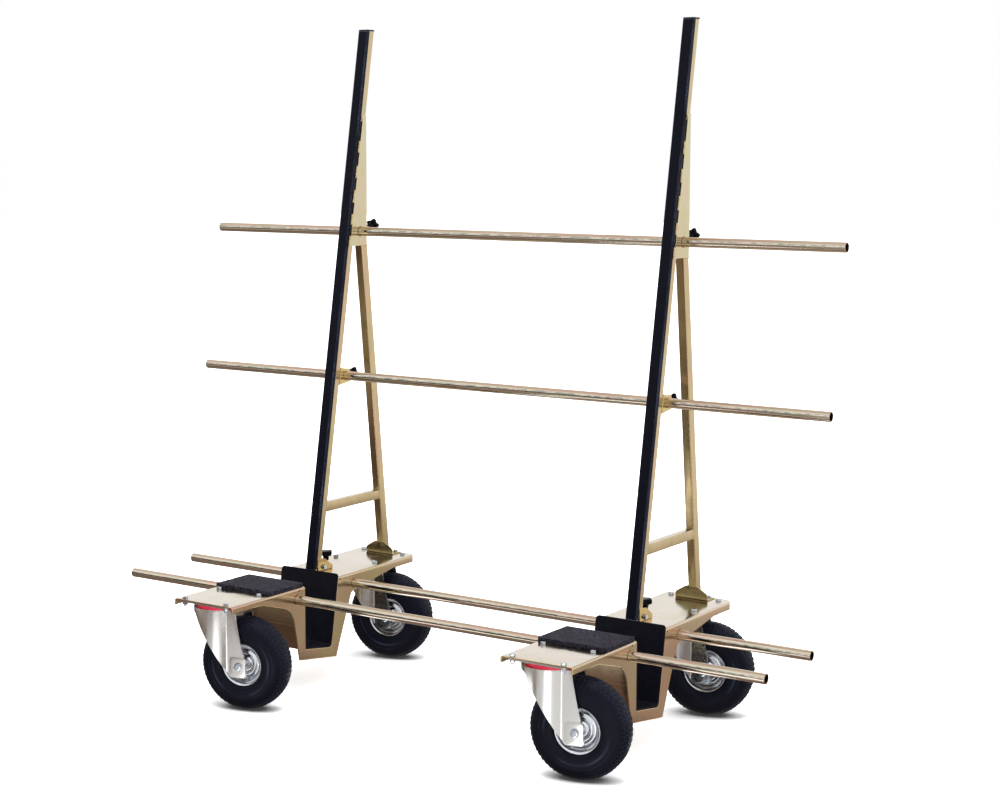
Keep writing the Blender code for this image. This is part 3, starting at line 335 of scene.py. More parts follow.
soft_edge, gin, gout = new_group(
    "soft_edge",
    [("Radius", "Float", 0.0006), ("Reach", "Float", 0.002)],
    [("Normal", "Vector"), ("Edge", "Float")],
)
rounded_edge = add(soft_edge, "ShaderNodeBevel", {"Radius": gin.outputs["Radius"]}, samples=4)
wide_edge = add(soft_edge, "ShaderNodeBevel", {"Radius": gin.outputs["Reach"]}, samples=4)
plain_face = add(soft_edge, "ShaderNodeNewGeometry")
agree = add(
    soft_edge, "ShaderNodeVectorMath", {0: wide_edge.outputs[0], 1: plain_face.outputs["Normal"]},
    operation="DOT_PRODUCT",
)
edge_share = spread(soft_edge, agree.outputs["Value"], 0.995, 0.86)
soft_edge.links.new(rounded_edge.outputs[0], gout.inputs["Normal"])
soft_edge.links.new(edge_share, gout.inputs["Edge"])

# %% Chromate film
film, gin, gout = new_group(
    "chromate_film",
    [
        ("Vector", "Vector"),
        ("Scale", "Float", 6.0),
        ("Base", "Color", (0.7, 0.6, 0.45, 1)),
        ("Rose", "Color", (0.7, 0.5, 0.4, 1)),
        ("Green", "Color", (0.6, 0.62, 0.4, 1)),
        ("Amount", "Float", 0.5),
    ],
    [("Color", "Color"), ("Cloud", "Float")],
)
broad = noise(film, gin.outputs["Vector"], gin.outputs["Scale"], 3.0, distortion=0.6)
finer_scale = times(film, gin.outputs["Scale"], 2.7)
finer = noise(film, gin.outputs["Vector"], finer_scale, 4.0)
rose_share = times(film, spread(film, broad, 0.46, 0.66), gin.outputs["Amount"])
green_share = times(film, spread(film, finer, 0.50, 0.70), gin.outputs["Amount"])
tinted = blend_colours(film, rose_share, gin.outputs["Base"], gin.outputs["Rose"])
tinted = blend_colours(film, green_share, tinted, gin.outputs["Green"])
film.links.new(tinted, gout.inputs["Color"])
film.links.new(finer, gout.inputs["Cloud"])

# %% Grain and dust
grain, gin, gout = new_group(
    "fine_grain",
    [("Vector", "Vector"), ("Scale", "Float", 400.0), ("Detail", "Float", 3.0)],
    [("Height", "Float"), ("Speck", "Float")],
)
pitting = noise(grain, gin.outputs["Vector"], gin.outputs["Scale"], gin.outputs["Detail"])
specks = add(grain, "ShaderNodeTexVoronoi", {"Vector": gin.outputs["Vector"], "Scale": gin.outputs["Scale"]})
speck = spread(grain, specks.outputs["Distance"], 0.22, 0.10)
grain.links.new(pitting, gout.inputs["Height"])
grain.links.new(speck, gout.inputs["Speck"])

dust, gin, gout = new_group(
    "settled_dust",
    [("Vector", "Vector"), ("Scale", "Float", 60.0), ("Amount", "Float", 0.3)],
    [("Dust", "Float")],
)
facing = add(dust, "ShaderNodeNewGeometry")
upward = add(dust, "ShaderNodeVectorMath", {0: facing.outputs["Normal"], 1: (0, 0, 1)}, operation="DOT_PRODUCT")
drift = noise(dust, gin.outputs["Vector"], gin.outputs["Scale"], 5.0)
lying = times(dust, spread(dust, upward.outputs["Value"], -0.2, 0.9), spread(dust, drift, 0.42, 0.72))
dust.links.new(times(dust, lying, gin.outputs["Amount"], True), gout.inputs["Dust"])
print("surface effects:", [g.name for g in (soft_edge, film, grain, dust)])

# %% [markdown]
# ## Materials
# The frame is steel with zinc on it, passivated yellow. In a bright studio it looks like pale champagne, with
# golden sheet edges and a little rose and green where the film is thicker. Its reflections are nearly as sharp as a
# mirror's along the sheet, and slightly wavy. The casters are zinc with a clear film, the linings are black rubber.

# %% Start of a material


def new_material(name, metallic=0.0, viewport=(0.5, 0.5, 0.5), coordinates="object", sheen=0.5):
    """A Principled material and its coordinates: of the row frame, or of the piece's own frame."""
    material = bpy.data.materials.new(name)
    material.use_nodes = True
    material.diffuse_color = (*viewport, 1)
    tree = material.node_tree
    shader = tree.nodes["Principled BSDF"]
    shader.inputs["Metallic"].default_value = metallic
    shader.inputs["Specular IOR Level"].default_value = sheen
    if coordinates == "object":
        vector = add(tree, "ShaderNodeTexCoord").outputs["Object"]
    else:
        vector = add(
            tree, "ShaderNodeAttribute", attribute_name="own_place", attribute_type="GEOMETRY",
        ).outputs["Vector"]
    return material, tree, shader, vector


def finish_bump(tree, shader, height, distance, normal=None, strength=1.0):
    """Relief from a height, laid over a normal."""
    inputs = {"Height": height, "Distance": distance, "Strength": strength}
    if normal is not None:
        inputs["Normal"] = normal
    bump = add(tree, "ShaderNodeBump", inputs)
    tree.links.new(bump.outputs["Normal"], shader.inputs["Normal"])


def coat(shader, colour, roughness=None):
    """Links a colour and a roughness to a Principled shader."""
    shader.id_data.links.new(colour, shader.inputs["Base Color"])
    if roughness is not None:
        shader.id_data.links.new(roughness, shader.inputs["Roughness"])


def coat_over(material, share, colour):
    """Lays a second colour over a material's first one."""
    shader = material.node_tree.nodes["Principled BSDF"]
    first = shader.inputs["Base Color"].links[0].from_socket
    coat(shader, blend_colours(material.node_tree, share, first, colour))


def from_wheel_axis(tree, own):
    """How far a point is from the axis of its wheel."""
    squares = [arithmetic(tree, "POWER", own[axis], 2.0) for axis in "XZ"]
    return arithmetic(tree, "SQRT", arithmetic(tree, "ADD", *squares))


# %% Yellow zinc


def yellow_zinc(
    name, base, rose, green, roughness, streak, amount=0.5, edge=(1.0, 0.74, 0.40), scale=5.0, marked=0.10,
    front=(1, 1, 1), front_top=9.0, round_edge=0.0014,
):
    """Chromated zinc: base tints, roughness, and how far its rolling marks run along each axis."""
    material, tree, shader, vector = new_material(name, 1.0, base)
    soft = placed_group(tree, soft_edge, {"Radius": round_edge, "Reach": round_edge + 0.0014})
    facing = along_axes(tree, add(tree, "ShaderNodeNewGeometry").outputs["Normal"])
    upright = spread(tree, arithmetic(tree, "ABSOLUTE", facing["Z"]), 0.85, 0.30)
    coloured = spread(tree, upright, 0.0, 1.0, 0.5 * amount, amount)
    tints = placed_group(
        tree,
        film,
        {
            "Vector": vector, "Scale": scale, "Base": (*base, 1), "Rose": (*rose, 1), "Green": (*green, 1),
            "Amount": coloured,
        },
    )
    marks = noise(tree, stretch(tree, vector, streak), 1.0, 6.0, roughness=0.6)
    fine = placed_group(tree, grain, {"Vector": vector, "Scale": 900.0})
    worn = spread(tree, marks, 0.45, 0.75, 0.0, marked)
    colour = blend_colours(tree, worn, tints.outputs["Color"], (0.42, 0.33, 0.24))
    # Painted shade: upright faces take a browner copy of the colour.
    painted_shade_brown = blend_colours(tree, 1.0, colour, (0.90, 0.83, 0.68), "MULTIPLY")
    colour = blend_colours(tree, upright, colour, painted_shade_brown)
    # Painted shade: faces that face forward, below the front_top height, are multiplied by the front colour.
    front_painted_shade = blend_colours(tree, 1.0, colour, front, "MULTIPLY")
    place = along_axes(tree, vector)
    shaded_front_faces = times(
        tree, spread(tree, facing["Y"], -0.75, -0.95), spread(tree, place["Z"], front_top, front_top - 0.045),
    )
    colour = blend_colours(tree, shaded_front_faces, colour, front_painted_shade)
    # Edges take the edge colour: partly the golden tint of thicker film, partly a painted highlight.
    golden_edge_highlight = times(tree, soft.outputs["Edge"], 0.95)
    colour = blend_colours(tree, golden_edge_highlight, colour, edge)
    rough = spread(tree, tints.outputs["Cloud"], 0.3, 0.7, roughness - 0.05, roughness + 0.07)
    coat(shader, colour, arithmetic(tree, "ADD", rough, spread(tree, fine.outputs["Height"], 0.4, 0.7, 0.0, 0.05)))
    relief = arithmetic(tree, "ADD", times(tree, marks, 0.3), tints.outputs["Cloud"])
    finish_bump(tree, shader, relief, 0.00006, soft.outputs["Normal"], 0.5)
    return material


# %% Zinc of the sheet, the profiles and the small parts
champagne = (0.735, 0.66, 0.56)
rose_tint = (0.74, 0.56, 0.48)
green_tint = (0.68, 0.67, 0.44)
# Painted shade: the sheet darkens its forward-facing walls below 0.232 m, and the profiles all their forward faces.
platform_zinc = yellow_zinc(
    "zinc_sheet", champagne, rose_tint, green_tint, 0.13, (3, 90, 90), 0.9, front=(0.56, 0.47, 0.47), front_top=0.232,
    round_edge=0.0024,
)
profile_zinc = yellow_zinc(
    "zinc_profile", (0.70, 0.62, 0.45), (0.72, 0.55, 0.46), (0.60, 0.57, 0.38), 0.16, (60, 60, 3), 0.8, marked=0.3,
    front=(0.62, 0.58, 0.50),
)
gusset_zinc = yellow_zinc(
    "zinc_gusset", (0.73, 0.71, 0.59), (0.78, 0.66, 0.59), (0.72, 0.72, 0.48), 0.12, (60, 60, 8), 0.9,
    (0.95, 0.76, 0.42), 12.0,
)
# The gabled foot is a dark copy of the yellow zinc: painted shade and dark reflection.
gable_shaded_zinc = yellow_zinc(
    "zinc_gable", (0.35, 0.325, 0.20), (0.36, 0.25, 0.14), (0.32, 0.32, 0.16), 0.10, (60, 60, 60), 0.8,
    (0.95, 0.78, 0.40), 30.0,
)
small_zinc = yellow_zinc(
    "zinc_bracket", (0.80, 0.67, 0.40), (0.74, 0.52, 0.28), (0.68, 0.66, 0.30), 0.09, (80, 80, 80), 0.8, scale=30.0,
)
print("yellow zincs:", [m.name for m in bpy.data.materials if m.name.startswith("zinc_")])

# %% [markdown]
# The tubes are drawn, so their marks run along them. The photograph shows a long broken line of grey-green specks on
# each, with a cleaner rose tint over and under it; here that line is a painted dark reflection. The line follows the
# tube, so the material measures the angle round the tube's own axis, which is stored on the mesh.

# %% Tube zinc
tube_zinc, tree, shader, vector = new_material("zinc_tube", 1.0, (0.74, 0.64, 0.52), "own")
own = along_axes(tree, vector)
around = arithmetic(tree, "ARCTAN2", own["Z"], own["Y"])
streaked = stretch(tree, vector, (2.2, 70, 70))
drawn = noise(tree, streaked, 1.0, 8.0, roughness=0.62)
tints = placed_group(
    tree,
    film,
    {
        "Vector": stretch(tree, vector, (1, 12, 12)), "Scale": 4.0, "Base": (0.76, 0.68, 0.56, 1),
        "Rose": (0.76, 0.58, 0.50, 1), "Green": (0.62, 0.66, 0.50, 1), "Amount": 0.8,
    },
)
# Painted reflection: a dark grey-green line at a fixed angle round the tube, broken into specks.
painted_line_angle = arithmetic(
    tree, "ABSOLUTE",
    arithmetic(tree, "ADD", around, arithmetic(tree, "ADD", -2.88, spread(tree, drawn, 0.3, 0.7, -0.10, 0.10))),
)
painted_dark_line = spread(tree, painted_line_angle, 0.22, 0.08)
broken = noise(tree, stretch(tree, vector, (60, 260, 260)), 1.0, 5.0)
painted_dark_line = times(tree, painted_dark_line, spread(tree, broken, 0.40, 0.56))
colour = blend_colours(tree, times(tree, painted_dark_line, 0.80), tints.outputs["Color"], (0.22, 0.25, 0.22))
colour = blend_colours(tree, spread(tree, drawn, 0.50, 0.74, 0.0, 0.35), colour, (0.44, 0.34, 0.25))
coat(shader, colour, spread(tree, drawn, 0.3, 0.7, 0.09, 0.20))
finish_bump(tree, shader, drawn, 0.00006, None, 0.5)
print(tube_zinc.name, "nodes:", len(tree.nodes))

# %% [markdown]
# Weld beads take the most colour in the bath, so they are darker gold than the sheet beside them.

# %% Weld zinc
weld_zinc, tree, shader, vector = new_material("zinc_weld", 1.0, (0.7, 0.55, 0.28))
tints = placed_group(
    tree,
    film,
    {
        "Vector": vector, "Scale": 90.0, "Base": (0.78, 0.64, 0.34, 1), "Rose": (0.62, 0.38, 0.20, 1),
        "Green": (0.55, 0.56, 0.22, 1), "Amount": 0.9,
    },
)
coat(shader, tints.outputs["Color"], spread(tree, tints.outputs["Cloud"], 0.3, 0.7, 0.18, 0.36))
fine = placed_group(tree, grain, {"Vector": vector, "Scale": 700.0})
finish_bump(tree, shader, fine.outputs["Height"], 0.0003)
print(weld_zinc.name, "nodes:", len(tree.nodes))

# %% [markdown]
# The caster forks are zinc with a clear film: silver, satin, and faintly spangled where the crystals show. The rear
# forks' flanks are painted darker, a painted reflection.

# %% Clear zinc


def clear_zinc(name, tint, roughness, spangle, coordinates="object", edge=(0.92, 0.93, 0.95), shaded_flank_start=None):
    """Silver zinc with crystals of a given strength; its edges take a painted highlight, or painted dark edges."""
    material, tree, shader, vector = new_material(name, 1.0, tint, coordinates)
    soft = placed_group(tree, soft_edge, {"Radius": 0.0009, "Reach": 0.0014})
    crystal = add(tree, "ShaderNodeTexVoronoi", {"Vector": vector, "Scale": 260.0, "Randomness": 1.0})
    cloud = noise(tree, vector, 22.0, 5.0)
    fine = placed_group(tree, grain, {"Vector": vector, "Scale": 1200.0})
    shade = times(tree, spread(tree, crystal.outputs["Distance"], 0.1, 0.8), spangle)
    shade = arithmetic(tree, "ADD", shade, spread(tree, cloud, 0.42, 0.72, 0.0, 0.4 * spangle), True)
    dark = tuple(0.55 * c for c in tint)
    colour = blend_colours(tree, shade, tint, dark)
    # Painted reflection: from a start along X the flank is multiplied by a dark tone with spangled facets.
    if shaded_flank_start is not None:
        own = along_axes(tree, vector)
        facet = add(tree, "ShaderNodeSeparateColor", {"Color": crystal.outputs["Color"]})
        tone = blend_colours(tree, facet.outputs["Red"], (0.09, 0.105, 0.12), (0.42, 0.45, 0.50))
        shaded_flank = blend_colours(tree, 1.0, colour, tone, "MULTIPLY")
        colour = blend_colours(tree, spread(tree, own["X"], shaded_flank_start, shaded_flank_start + 0.004), colour, shaded_flank)
    # Painted highlight along the edges, or painted dark edges when the edge colour is dark.
    colour = blend_colours(tree, times(tree, soft.outputs["Edge"], 0.75), colour, edge)
    rough = arithmetic(
        tree, "ADD", spread(tree, cloud, 0.3, 0.7, roughness - 0.02, roughness + 0.03),
        spread(tree, fine.outputs["Height"], 0.4, 0.7, 0.0, 0.04),
    )
    coat(shader, colour, rough)
    relief = times(tree, arithmetic(tree, "ADD", fine.outputs["Height"], crystal.outputs["Distance"]), 0.3 + spangle)
    finish_bump(tree, shader, relief, 0.00008, soft.outputs["Normal"], 0.5)
    return material


# Fork edges get a painted highlight, bolt edges painted dark edges.
fork_zinc = clear_zinc("zinc_fork", (0.83, 0.81, 0.785), 0.22, 0.06, "own")
rear_fork_shaded_zinc = clear_zinc("zinc_rear_fork", (0.80, 0.81, 0.82), 0.20, 0.35, "own", shaded_flank_start=0.038)
plate_zinc = clear_zinc("zinc_caster_plate", (0.58, 0.58, 0.58), 0.36, 0.35)
bolt_zinc = clear_zinc("zinc_fastener", (0.66, 0.72, 0.78), 0.14, 0.10, edge=(0.13, 0.14, 0.17))
print("clear zincs:", [m.name for m in (fork_zinc, rear_fork_shaded_zinc, plate_zinc, bolt_zinc)])

# %% [markdown]
# A rim is turned on a lathe. A noise that depends only on the distance to the wheel's axis draws its fine rings.

# %% Turned zinc of the rims
rim_zinc, tree, shader, vector = new_material("zinc_rim", 1.0, (0.75, 0.76, 0.78), "own")
own = along_axes(tree, vector)
reach = from_wheel_axis(tree, own)
turning = add(
    tree, "ShaderNodeTexNoise", {"W": times(tree, reach, 900.0), "Scale": 1.0, "Detail": 3.0}, noise_dimensions="1D",
)
cloud = noise(tree, vector, 70.0, 4.0)
colour = blend_colours(tree, spread(tree, cloud, 0.45, 0.75, 0.0, 0.5), (0.80, 0.82, 0.87), (0.52, 0.54, 0.60))
coat(shader, colour, spread(tree, turning.outputs["Fac"], 0.3, 0.7, 0.10, 0.24))
finish_bump(tree, shader, turning.outputs["Fac"], 0.00012, None, 0.6)
print(rim_zinc.name, "nodes:", len(tree.nodes))

# %% [markdown]
# Rubber is nearly black, a little blue, and it shows every scuff and grain of dust on its upper edges.

# %% Rubbers and plastics


def black_rubber(name, tone, roughness, grain_scale, relief, dust_amount, scuff, coordinates="object", sheen=0.25):
    """Dark rubber with grain, scuffed edges and dust."""
    material, tree, shader, vector = new_material(name, 0.0, tone, coordinates, sheen)
    soft = placed_group(tree, soft_edge, {"Radius": 0.0012, "Reach": 0.0018})
    fine = placed_group(tree, grain, {"Vector": vector, "Scale": grain_scale})
    lying = placed_group(tree, dust, {"Vector": vector, "Scale": 55.0, "Amount": dust_amount})
    rubbed = noise(tree, vector, 120.0, 6.0)
    light = tuple(4.0 * c + 0.03 for c in tone)
    worn = times(tree, soft.outputs["Edge"], spread(tree, rubbed, 0.48, 0.68, 0.0, scuff))
    colour = blend_colours(tree, worn, tone, light)
    colour = blend_colours(tree, lying.outputs["Dust"], colour, (0.16, 0.16, 0.17))
    coat(shader, colour, spread(tree, rubbed, 0.3, 0.7, roughness - 0.06, roughness + 0.08))
    finish_bump(tree, shader, fine.outputs["Height"], relief, soft.outputs["Normal"])
    return material


facing_rubber = black_rubber("rubber_facing", (0.0042, 0.0046, 0.0090), 0.30, 900.0, 0.00006, 0.02, 0.2, sheen=0.05)
liner_rubber = black_rubber("rubber_liner", (0.0036, 0.0038, 0.0072), 0.50, 500.0, 0.00018, 0.05, 0.9, sheen=0.10)
cap_plastic = black_rubber("plastic_cap", (0.006, 0.006, 0.008), 0.35, 1200.0, 0.00004, 0.06, 0.2)
knob_plastic = black_rubber("plastic_knob", (0.0025, 0.0025, 0.0045), 0.20, 1500.0, 0.00002, 0.01, 0.1, sheen=0.07)
print("blacks:", [m.name for m in (facing_rubber, liner_rubber, cap_plastic, knob_plastic)])

# %% [markdown]
# The front corners of the uprights' rubber are round, and each is painted with one broken bluish streak, a painted
# highlight. The soft_edge group finds the corner, and a noise that is stretched along the height breaks the streak.

# %% Painted highlight on the upright's rubber corners
tree = facing_rubber.node_tree
vector = add(tree, "ShaderNodeTexCoord").outputs["Object"]
corner = placed_group(tree, soft_edge, {"Radius": 0.0018, "Reach": 0.0034})
broken = noise(tree, stretch(tree, vector, (8, 8, 5)), 1.0, 5.0, roughness=0.7)
# Painted highlight: a broken bluish streak along the rounded corners.
streak = times(tree, spread(tree, corner.outputs["Edge"], 0.08, 0.45), spread(tree, broken, 0.42, 0.66, 0.12, 0.9))
coat_over(facing_rubber, streak, (0.21, 0.245, 0.37))
print(facing_rubber.name, "nodes:", len(tree.nodes))

# %% [markdown]
# A tyre gets painted highlights: a bluish ring beside the rim, and the rims of its blocks. The ring is found from the
# distance to the wheel's own axis.

# %% Tyre rubber
tyre_rubber = black_rubber("rubber_tyre", (0.0046, 0.0052, 0.0112), 0.38, 420.0, 0.00014, 0.03, 0.35, "own", 0.10)
tree = tyre_rubber.node_tree
vector = add(tree, "ShaderNodeAttribute", attribute_name="own_place", attribute_type="GEOMETRY").outputs["Vector"]
own = along_axes(tree, vector)
reach = from_wheel_axis(tree, own)
# Painted highlight: bluish rings near the bead and on the wall, and along the rims of the blocks, broken by a noise.
bead_ring = spread(tree, arithmetic(tree, "ABSOLUTE", arithmetic(tree, "SUBTRACT", reach, 0.0850)), 0.0042, 0.0)
wall_ring = spread(tree, arithmetic(tree, "ABSOLUTE", arithmetic(tree, "SUBTRACT", reach, 0.0975)), 0.0030, 0.0)
sheen_cloud = noise(tree, vector, 9.0, 3.0)
tyre_highlight = arithmetic(tree, "ADD", bead_ring, times(tree, wall_ring, 0.25), True)
tyre_highlight = times(tree, tyre_highlight, spread(tree, sheen_cloud, 0.44, 0.64))
soft = placed_group(tree, soft_edge, {"Radius": 0.0008, "Reach": 0.0016})
block_rim_highlight = times(tree, soft.outputs["Edge"], spread(tree, reach, 0.112, 0.122, 0.0, 0.75))
tyre_highlight = arithmetic(tree, "MAXIMUM", times(tree, tyre_highlight, 0.8), block_rim_highlight)
coat_over(tyre_rubber, tyre_highlight, (0.046, 0.055, 0.095))
print(tyre_rubber.name, "nodes:", len(tree.nodes))

# %% [markdown]
# The loading pad is crumb rubber: cells of a Voronoi texture, some pale, with dark gaps between them. The seal of a
# caster is the one red piece.

# %% Bonded granules of the loading pad
pad_rubber, tree, shader, vector = new_material("rubber_granules", 0.0, (0.03, 0.03, 0.035), sheen=0.2)
soft = placed_group(tree, soft_edge, {"Radius": 0.0015, "Reach": 0.0022})
crumb = add(tree, "ShaderNodeTexVoronoi", {"Vector": vector, "Scale": 460.0, "Randomness": 1.0})
small_crumb = add(tree, "ShaderNodeTexVoronoi", {"Vector": vector, "Scale": 900.0})
tone = add(tree, "ShaderNodeSeparateColor", {"Color": crumb.outputs["Color"]})
pale = spread(tree, tone.outputs["Red"], 0.55, 0.95)
colour = blend_colours(tree, pale, (0.009, 0.009, 0.015), (0.105, 0.095, 0.140))
between = spread(tree, crumb.outputs["Distance"], 0.35, 0.75, 0.0, 0.8)
coat(shader, blend_colours(tree, between, colour, (0.004, 0.004, 0.005)))
shader.inputs["Roughness"].default_value = 0.78
relief = arithmetic(
    tree, "ADD", arithmetic(tree, "SUBTRACT", 1.0, crumb.outputs["Distance"]),
    times(tree, small_crumb.outputs["Distance"], -0.4),
)
finish_bump(tree, shader, relief, 0.0012, soft.outputs["Normal"])
print(pad_rubber.name, "nodes:", len(tree.nodes))

# %% Red seal
red_plastic, tree, shader, vector = new_material("plastic_seal", 0.0, (0.7, 0.01, 0.05))
cloud = noise(tree, vector, 90.0, 4.0)
colour = blend_colours(tree, spread(tree, cloud, 0.4, 0.7, 0.0, 0.35), (0.78, 0.012, 0.050), (0.60, 0.02, 0.05))
coat(shader, colour, spread(tree, cloud, 0.3, 0.7, 0.30, 0.45))
print("materials:", len(bpy.data.materials))

# %% [markdown]
# ## Solids from outlines
# Sheet metal and bar are easiest to draw as flat outlines. A filled 2D curve turns an outline with holes into a
# face, and its extrude value gives it thickness. Two outlines that cross, one seen from the side and one from
# above, cut a bent part out of a channel. A short list of helpers covers the whole cart.

# %% Outlines
workshop = bpy.data.collections.new("workshop")
bpy.context.scene.collection.children.link(workshop)
turns_to = {
    "XY": Matrix.Identity(4),
    "YZ": Matrix(((0, 0, 1, 0), (1, 0, 0, 0), (0, 1, 0, 0), (0, 0, 0, 1))),
    "XZ": Matrix(((1, 0, 0, 0), (0, 0, -1, 0), (0, 1, 0, 0), (0, 0, 0, 1))),
}


def ring(centre, radius, steps=48):
    """Points of a circle."""
    turns = [2 * math.pi * i / steps for i in range(steps)]
    return [(centre[0] + radius * math.cos(a), centre[1] + radius * math.sin(a)) for a in turns]


def rounded(corners, steps=8):
    """An outline whose corners, each (a, b, radius), are rounded."""
    points = []
    for i, (a, b, radius) in enumerate(corners):
        here = Vector((a, b))
        if radius == 0:
            points.append((a, b))
            continue
        back = (Vector(corners[i - 1][:2]) - here).normalized()
        ahead = (Vector(corners[(i + 1) % len(corners)][:2]) - here).normalized()
        half = back.angle(ahead) / 2
        centre = here + (back + ahead).normalized() * (radius / math.sin(half))
        start = here + back * (radius / math.tan(half)) - centre
        end = here + ahead * (radius / math.tan(half)) - centre
        turn = start.angle_signed(end)
        for step in range(steps + 1):
            arm = start.copy()
            arm.rotate(Matrix.Rotation(-turn * step / steps, 2))
            points.append(tuple(centre + arm))
    return points


def rounded_box(low, high, radius, steps=6):
    """A rectangle with rounded corners."""
    (a, b), (c, d) = low, high
    return rounded([(a, b, radius), (c, b, radius), (c, d, radius), (a, d, radius)], steps)


def offset_path(points, distance):
    """An open path moved to its left, with mitred corners."""
    moved = []
    runs = [(Vector(q) - Vector(p)).normalized() for p, q in zip(points, points[1:])]
    for i, point in enumerate(points):
        before, after = runs[max(i - 1, 0)], runs[min(i, len(runs) - 1)]
        normal = Vector((-before.y - after.y, before.x + after.x)).normalized()
        moved.append(tuple(Vector(point) + normal * (distance / normal.dot(Vector((-after.y, after.x))))))
    return moved


# %% Solids from outlines


def workpiece(name, mesh):
    """An unfinished object on the bench."""
    piece = bpy.data.objects.new(name, mesh)
    workshop.objects.link(piece)
    return piece


def prism(name, loops, low, high, plane):
    """An outline with holes, extruded square to its plane from low to high."""
    curve = bpy.data.curves.new(name, "CURVE")
    curve.dimensions = "2D"
    curve.fill_mode = "BOTH"
    curve.extrude = (high - low) / 2
    for loop in loops:
        spline = curve.splines.new("POLY")
        spline.points.add(len(loop) - 1)
        for point, (a, b) in zip(spline.points, loop):
            point.co = (a, b, 0, 1)
        spline.use_cyclic_u = True
    outline = workpiece(name + "_outline", curve)
    bpy.context.view_layer.update()
    mesh = bpy.data.meshes.new_from_object(outline.evaluated_get(bpy.context.evaluated_depsgraph_get()))
    bpy.data.objects.remove(outline, do_unlink=True)
    middle = (high + low) / 2 * (-1 if plane == "XZ" else 1)
    mesh.transform(turns_to[plane] @ Matrix.Translation((0, 0, middle)))
    return workpiece(name, welded(mesh))


def folded(name, corners, steps, low, high, plane):
    """A prism of one outline whose corners are rounded."""
    return prism(name, [rounded(corners, steps)], low, high, plane)


def welded(mesh):
    """A mesh with doubled points merged and its faces turned outwards."""
    work = bmesh.new()
    work.from_mesh(mesh)
    bmesh.ops.remove_doubles(work, verts=work.verts, dist=0.000005)
    bmesh.ops.recalc_face_normals(work, faces=work.faces)
    work.to_mesh(mesh)
    work.free()
    return mesh


def turned(name, profile, steps=96, closed=True, axis="Z"):
    """A profile of (radius, height) turned about an axis; an open one is closed by its ends on the axis."""
    count = len(profile)
    points, rows = [], []
    for radius, height in profile:
        if radius < 1e-9:
            rows.append([len(points)] * steps)
            points.append((0, 0, height))
            continue
        rows.append(list(range(len(points), len(points) + steps)))
        for i in range(steps):
            angle = 2 * math.pi * (i + 0.5) / steps
            points.append((radius * math.cos(angle), radius * math.sin(angle), height))
    faces = []
    for k in range(count if closed else count - 1):
        first, second = rows[k], rows[(k + 1) % count]
        for i in range(steps):
            j = (i + 1) % steps
            face = list(dict.fromkeys((first[i], first[j], second[j], second[i])))
            if len(face) > 2:
                faces.append(face)
    mesh = bpy.data.meshes.new(name)
    mesh.from_pydata(points, [], faces)
    if axis == "Y":
        mesh.transform(Matrix.Rotation(-math.pi / 2, 4, "X"))
    elif axis == "X":
        mesh.transform(Matrix.Rotation(math.pi / 2, 4, "Y"))
    return workpiece(name, welded(mesh))


def block(name, low, high):
    """A box between two corners, used as a cutter."""
    (a, b, bottom), (c, d, top) = low, high
    return prism(name, [[(a, b), (c, b), (c, d), (a, d)]], bottom, top, "XY")


# %% Bars, bevels and booleans


def pointed(piece, start, end):
    """A piece made along +Z from the origin, moved to run from one point to another."""
    axis = Vector(end) - Vector(start)
    turn = axis.to_track_quat("Z", "Y").to_matrix().to_4x4()
    piece.data.transform(Matrix.Translation(start) @ turn)
    return piece


def rod(name, radius, start, end, steps=32):
    """A plain round bar between two points."""
    length = (Vector(end) - Vector(start)).length
    return pointed(turned(name, [(0, 0), (radius, 0), (radius, length), (0, length)], steps, False), start, end)


def bevelled(piece, width, segments=3, angle=30):
    """A bevel modifier on a piece, for edges sharper than an angle in degrees."""
    bevel = piece.modifiers.new("soft_edge", "BEVEL")
    bevel.width = width
    bevel.segments = segments
    bevel.limit_method = "ANGLE"
    bevel.angle_limit = math.radians(angle)
    return piece


def combine(piece, operation, *tools):
    """Boolean modifiers on a piece."""
    for tool in tools:
        change = piece.modifiers.new(operation.lower(), "BOOLEAN")
        change.operation = operation
        change.solver = "EXACT"
        change.object = tool
    return piece


# %% Finished meshes


def painted(mesh, material):
    """A mesh with one material."""
    mesh.materials.clear()
    mesh.materials.append(material)
    return mesh


def triangles(mesh):
    """How many triangles a mesh has."""
    return sum(len(p.vertices) - 2 for p in mesh.polygons)


def taken(piece, smooth=math.radians(32)):
    """The mesh of a piece after its modifiers."""
    bpy.context.view_layer.update()
    mesh = bpy.data.meshes.new_from_object(piece.evaluated_get(bpy.context.evaluated_depsgraph_get()))
    mesh.shade_smooth()
    mesh.set_sharp_from_angle(angle=smooth)
    return mesh


def leaning_bar(name, loops, low, high, line_y, line_slope):
    """A bar of a level section that follows a sloping line."""
    bar = prism(name, loops, low, high, "XY")
    shear = Matrix.Identity(4)
    shear[1][2] = line_slope
    shear[1][3] = line_y - line_slope * low
    bar.data.transform(shear)
    return bar


# %% [markdown]
# ## Putting a piece in place
# A finished piece keeps the coordinates of its own frame in an attribute, so that a pattern can follow a wheel or a
# tube wherever it stands. Then its place goes into its mesh, it takes a material, and it rides on a body.

# %% Placing


def settle(name, mesh, material, body, place=None, stands_for=()):
    """A finished object made from a mesh."""
    made = mesh.copy()
    made.name = name
    count = len(made.vertices)
    own_place = np.empty(count * 3, np.float32)
    made.vertices.foreach_get("co", own_place)
    own = made.attributes.get("own_place") or made.attributes.new("own_place", "FLOAT_VECTOR", "POINT")
    own.data.foreach_set("vector", own_place)
    if place is not None:
        made.transform(place)
    if material is not None:
        painted(made, material)
    piece = bpy.data.objects.new(name, made)
    bpy.context.scene.collection.objects.link(piece)
    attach(piece, body)
    if stands_for:
        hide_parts(*stands_for)
    return piece


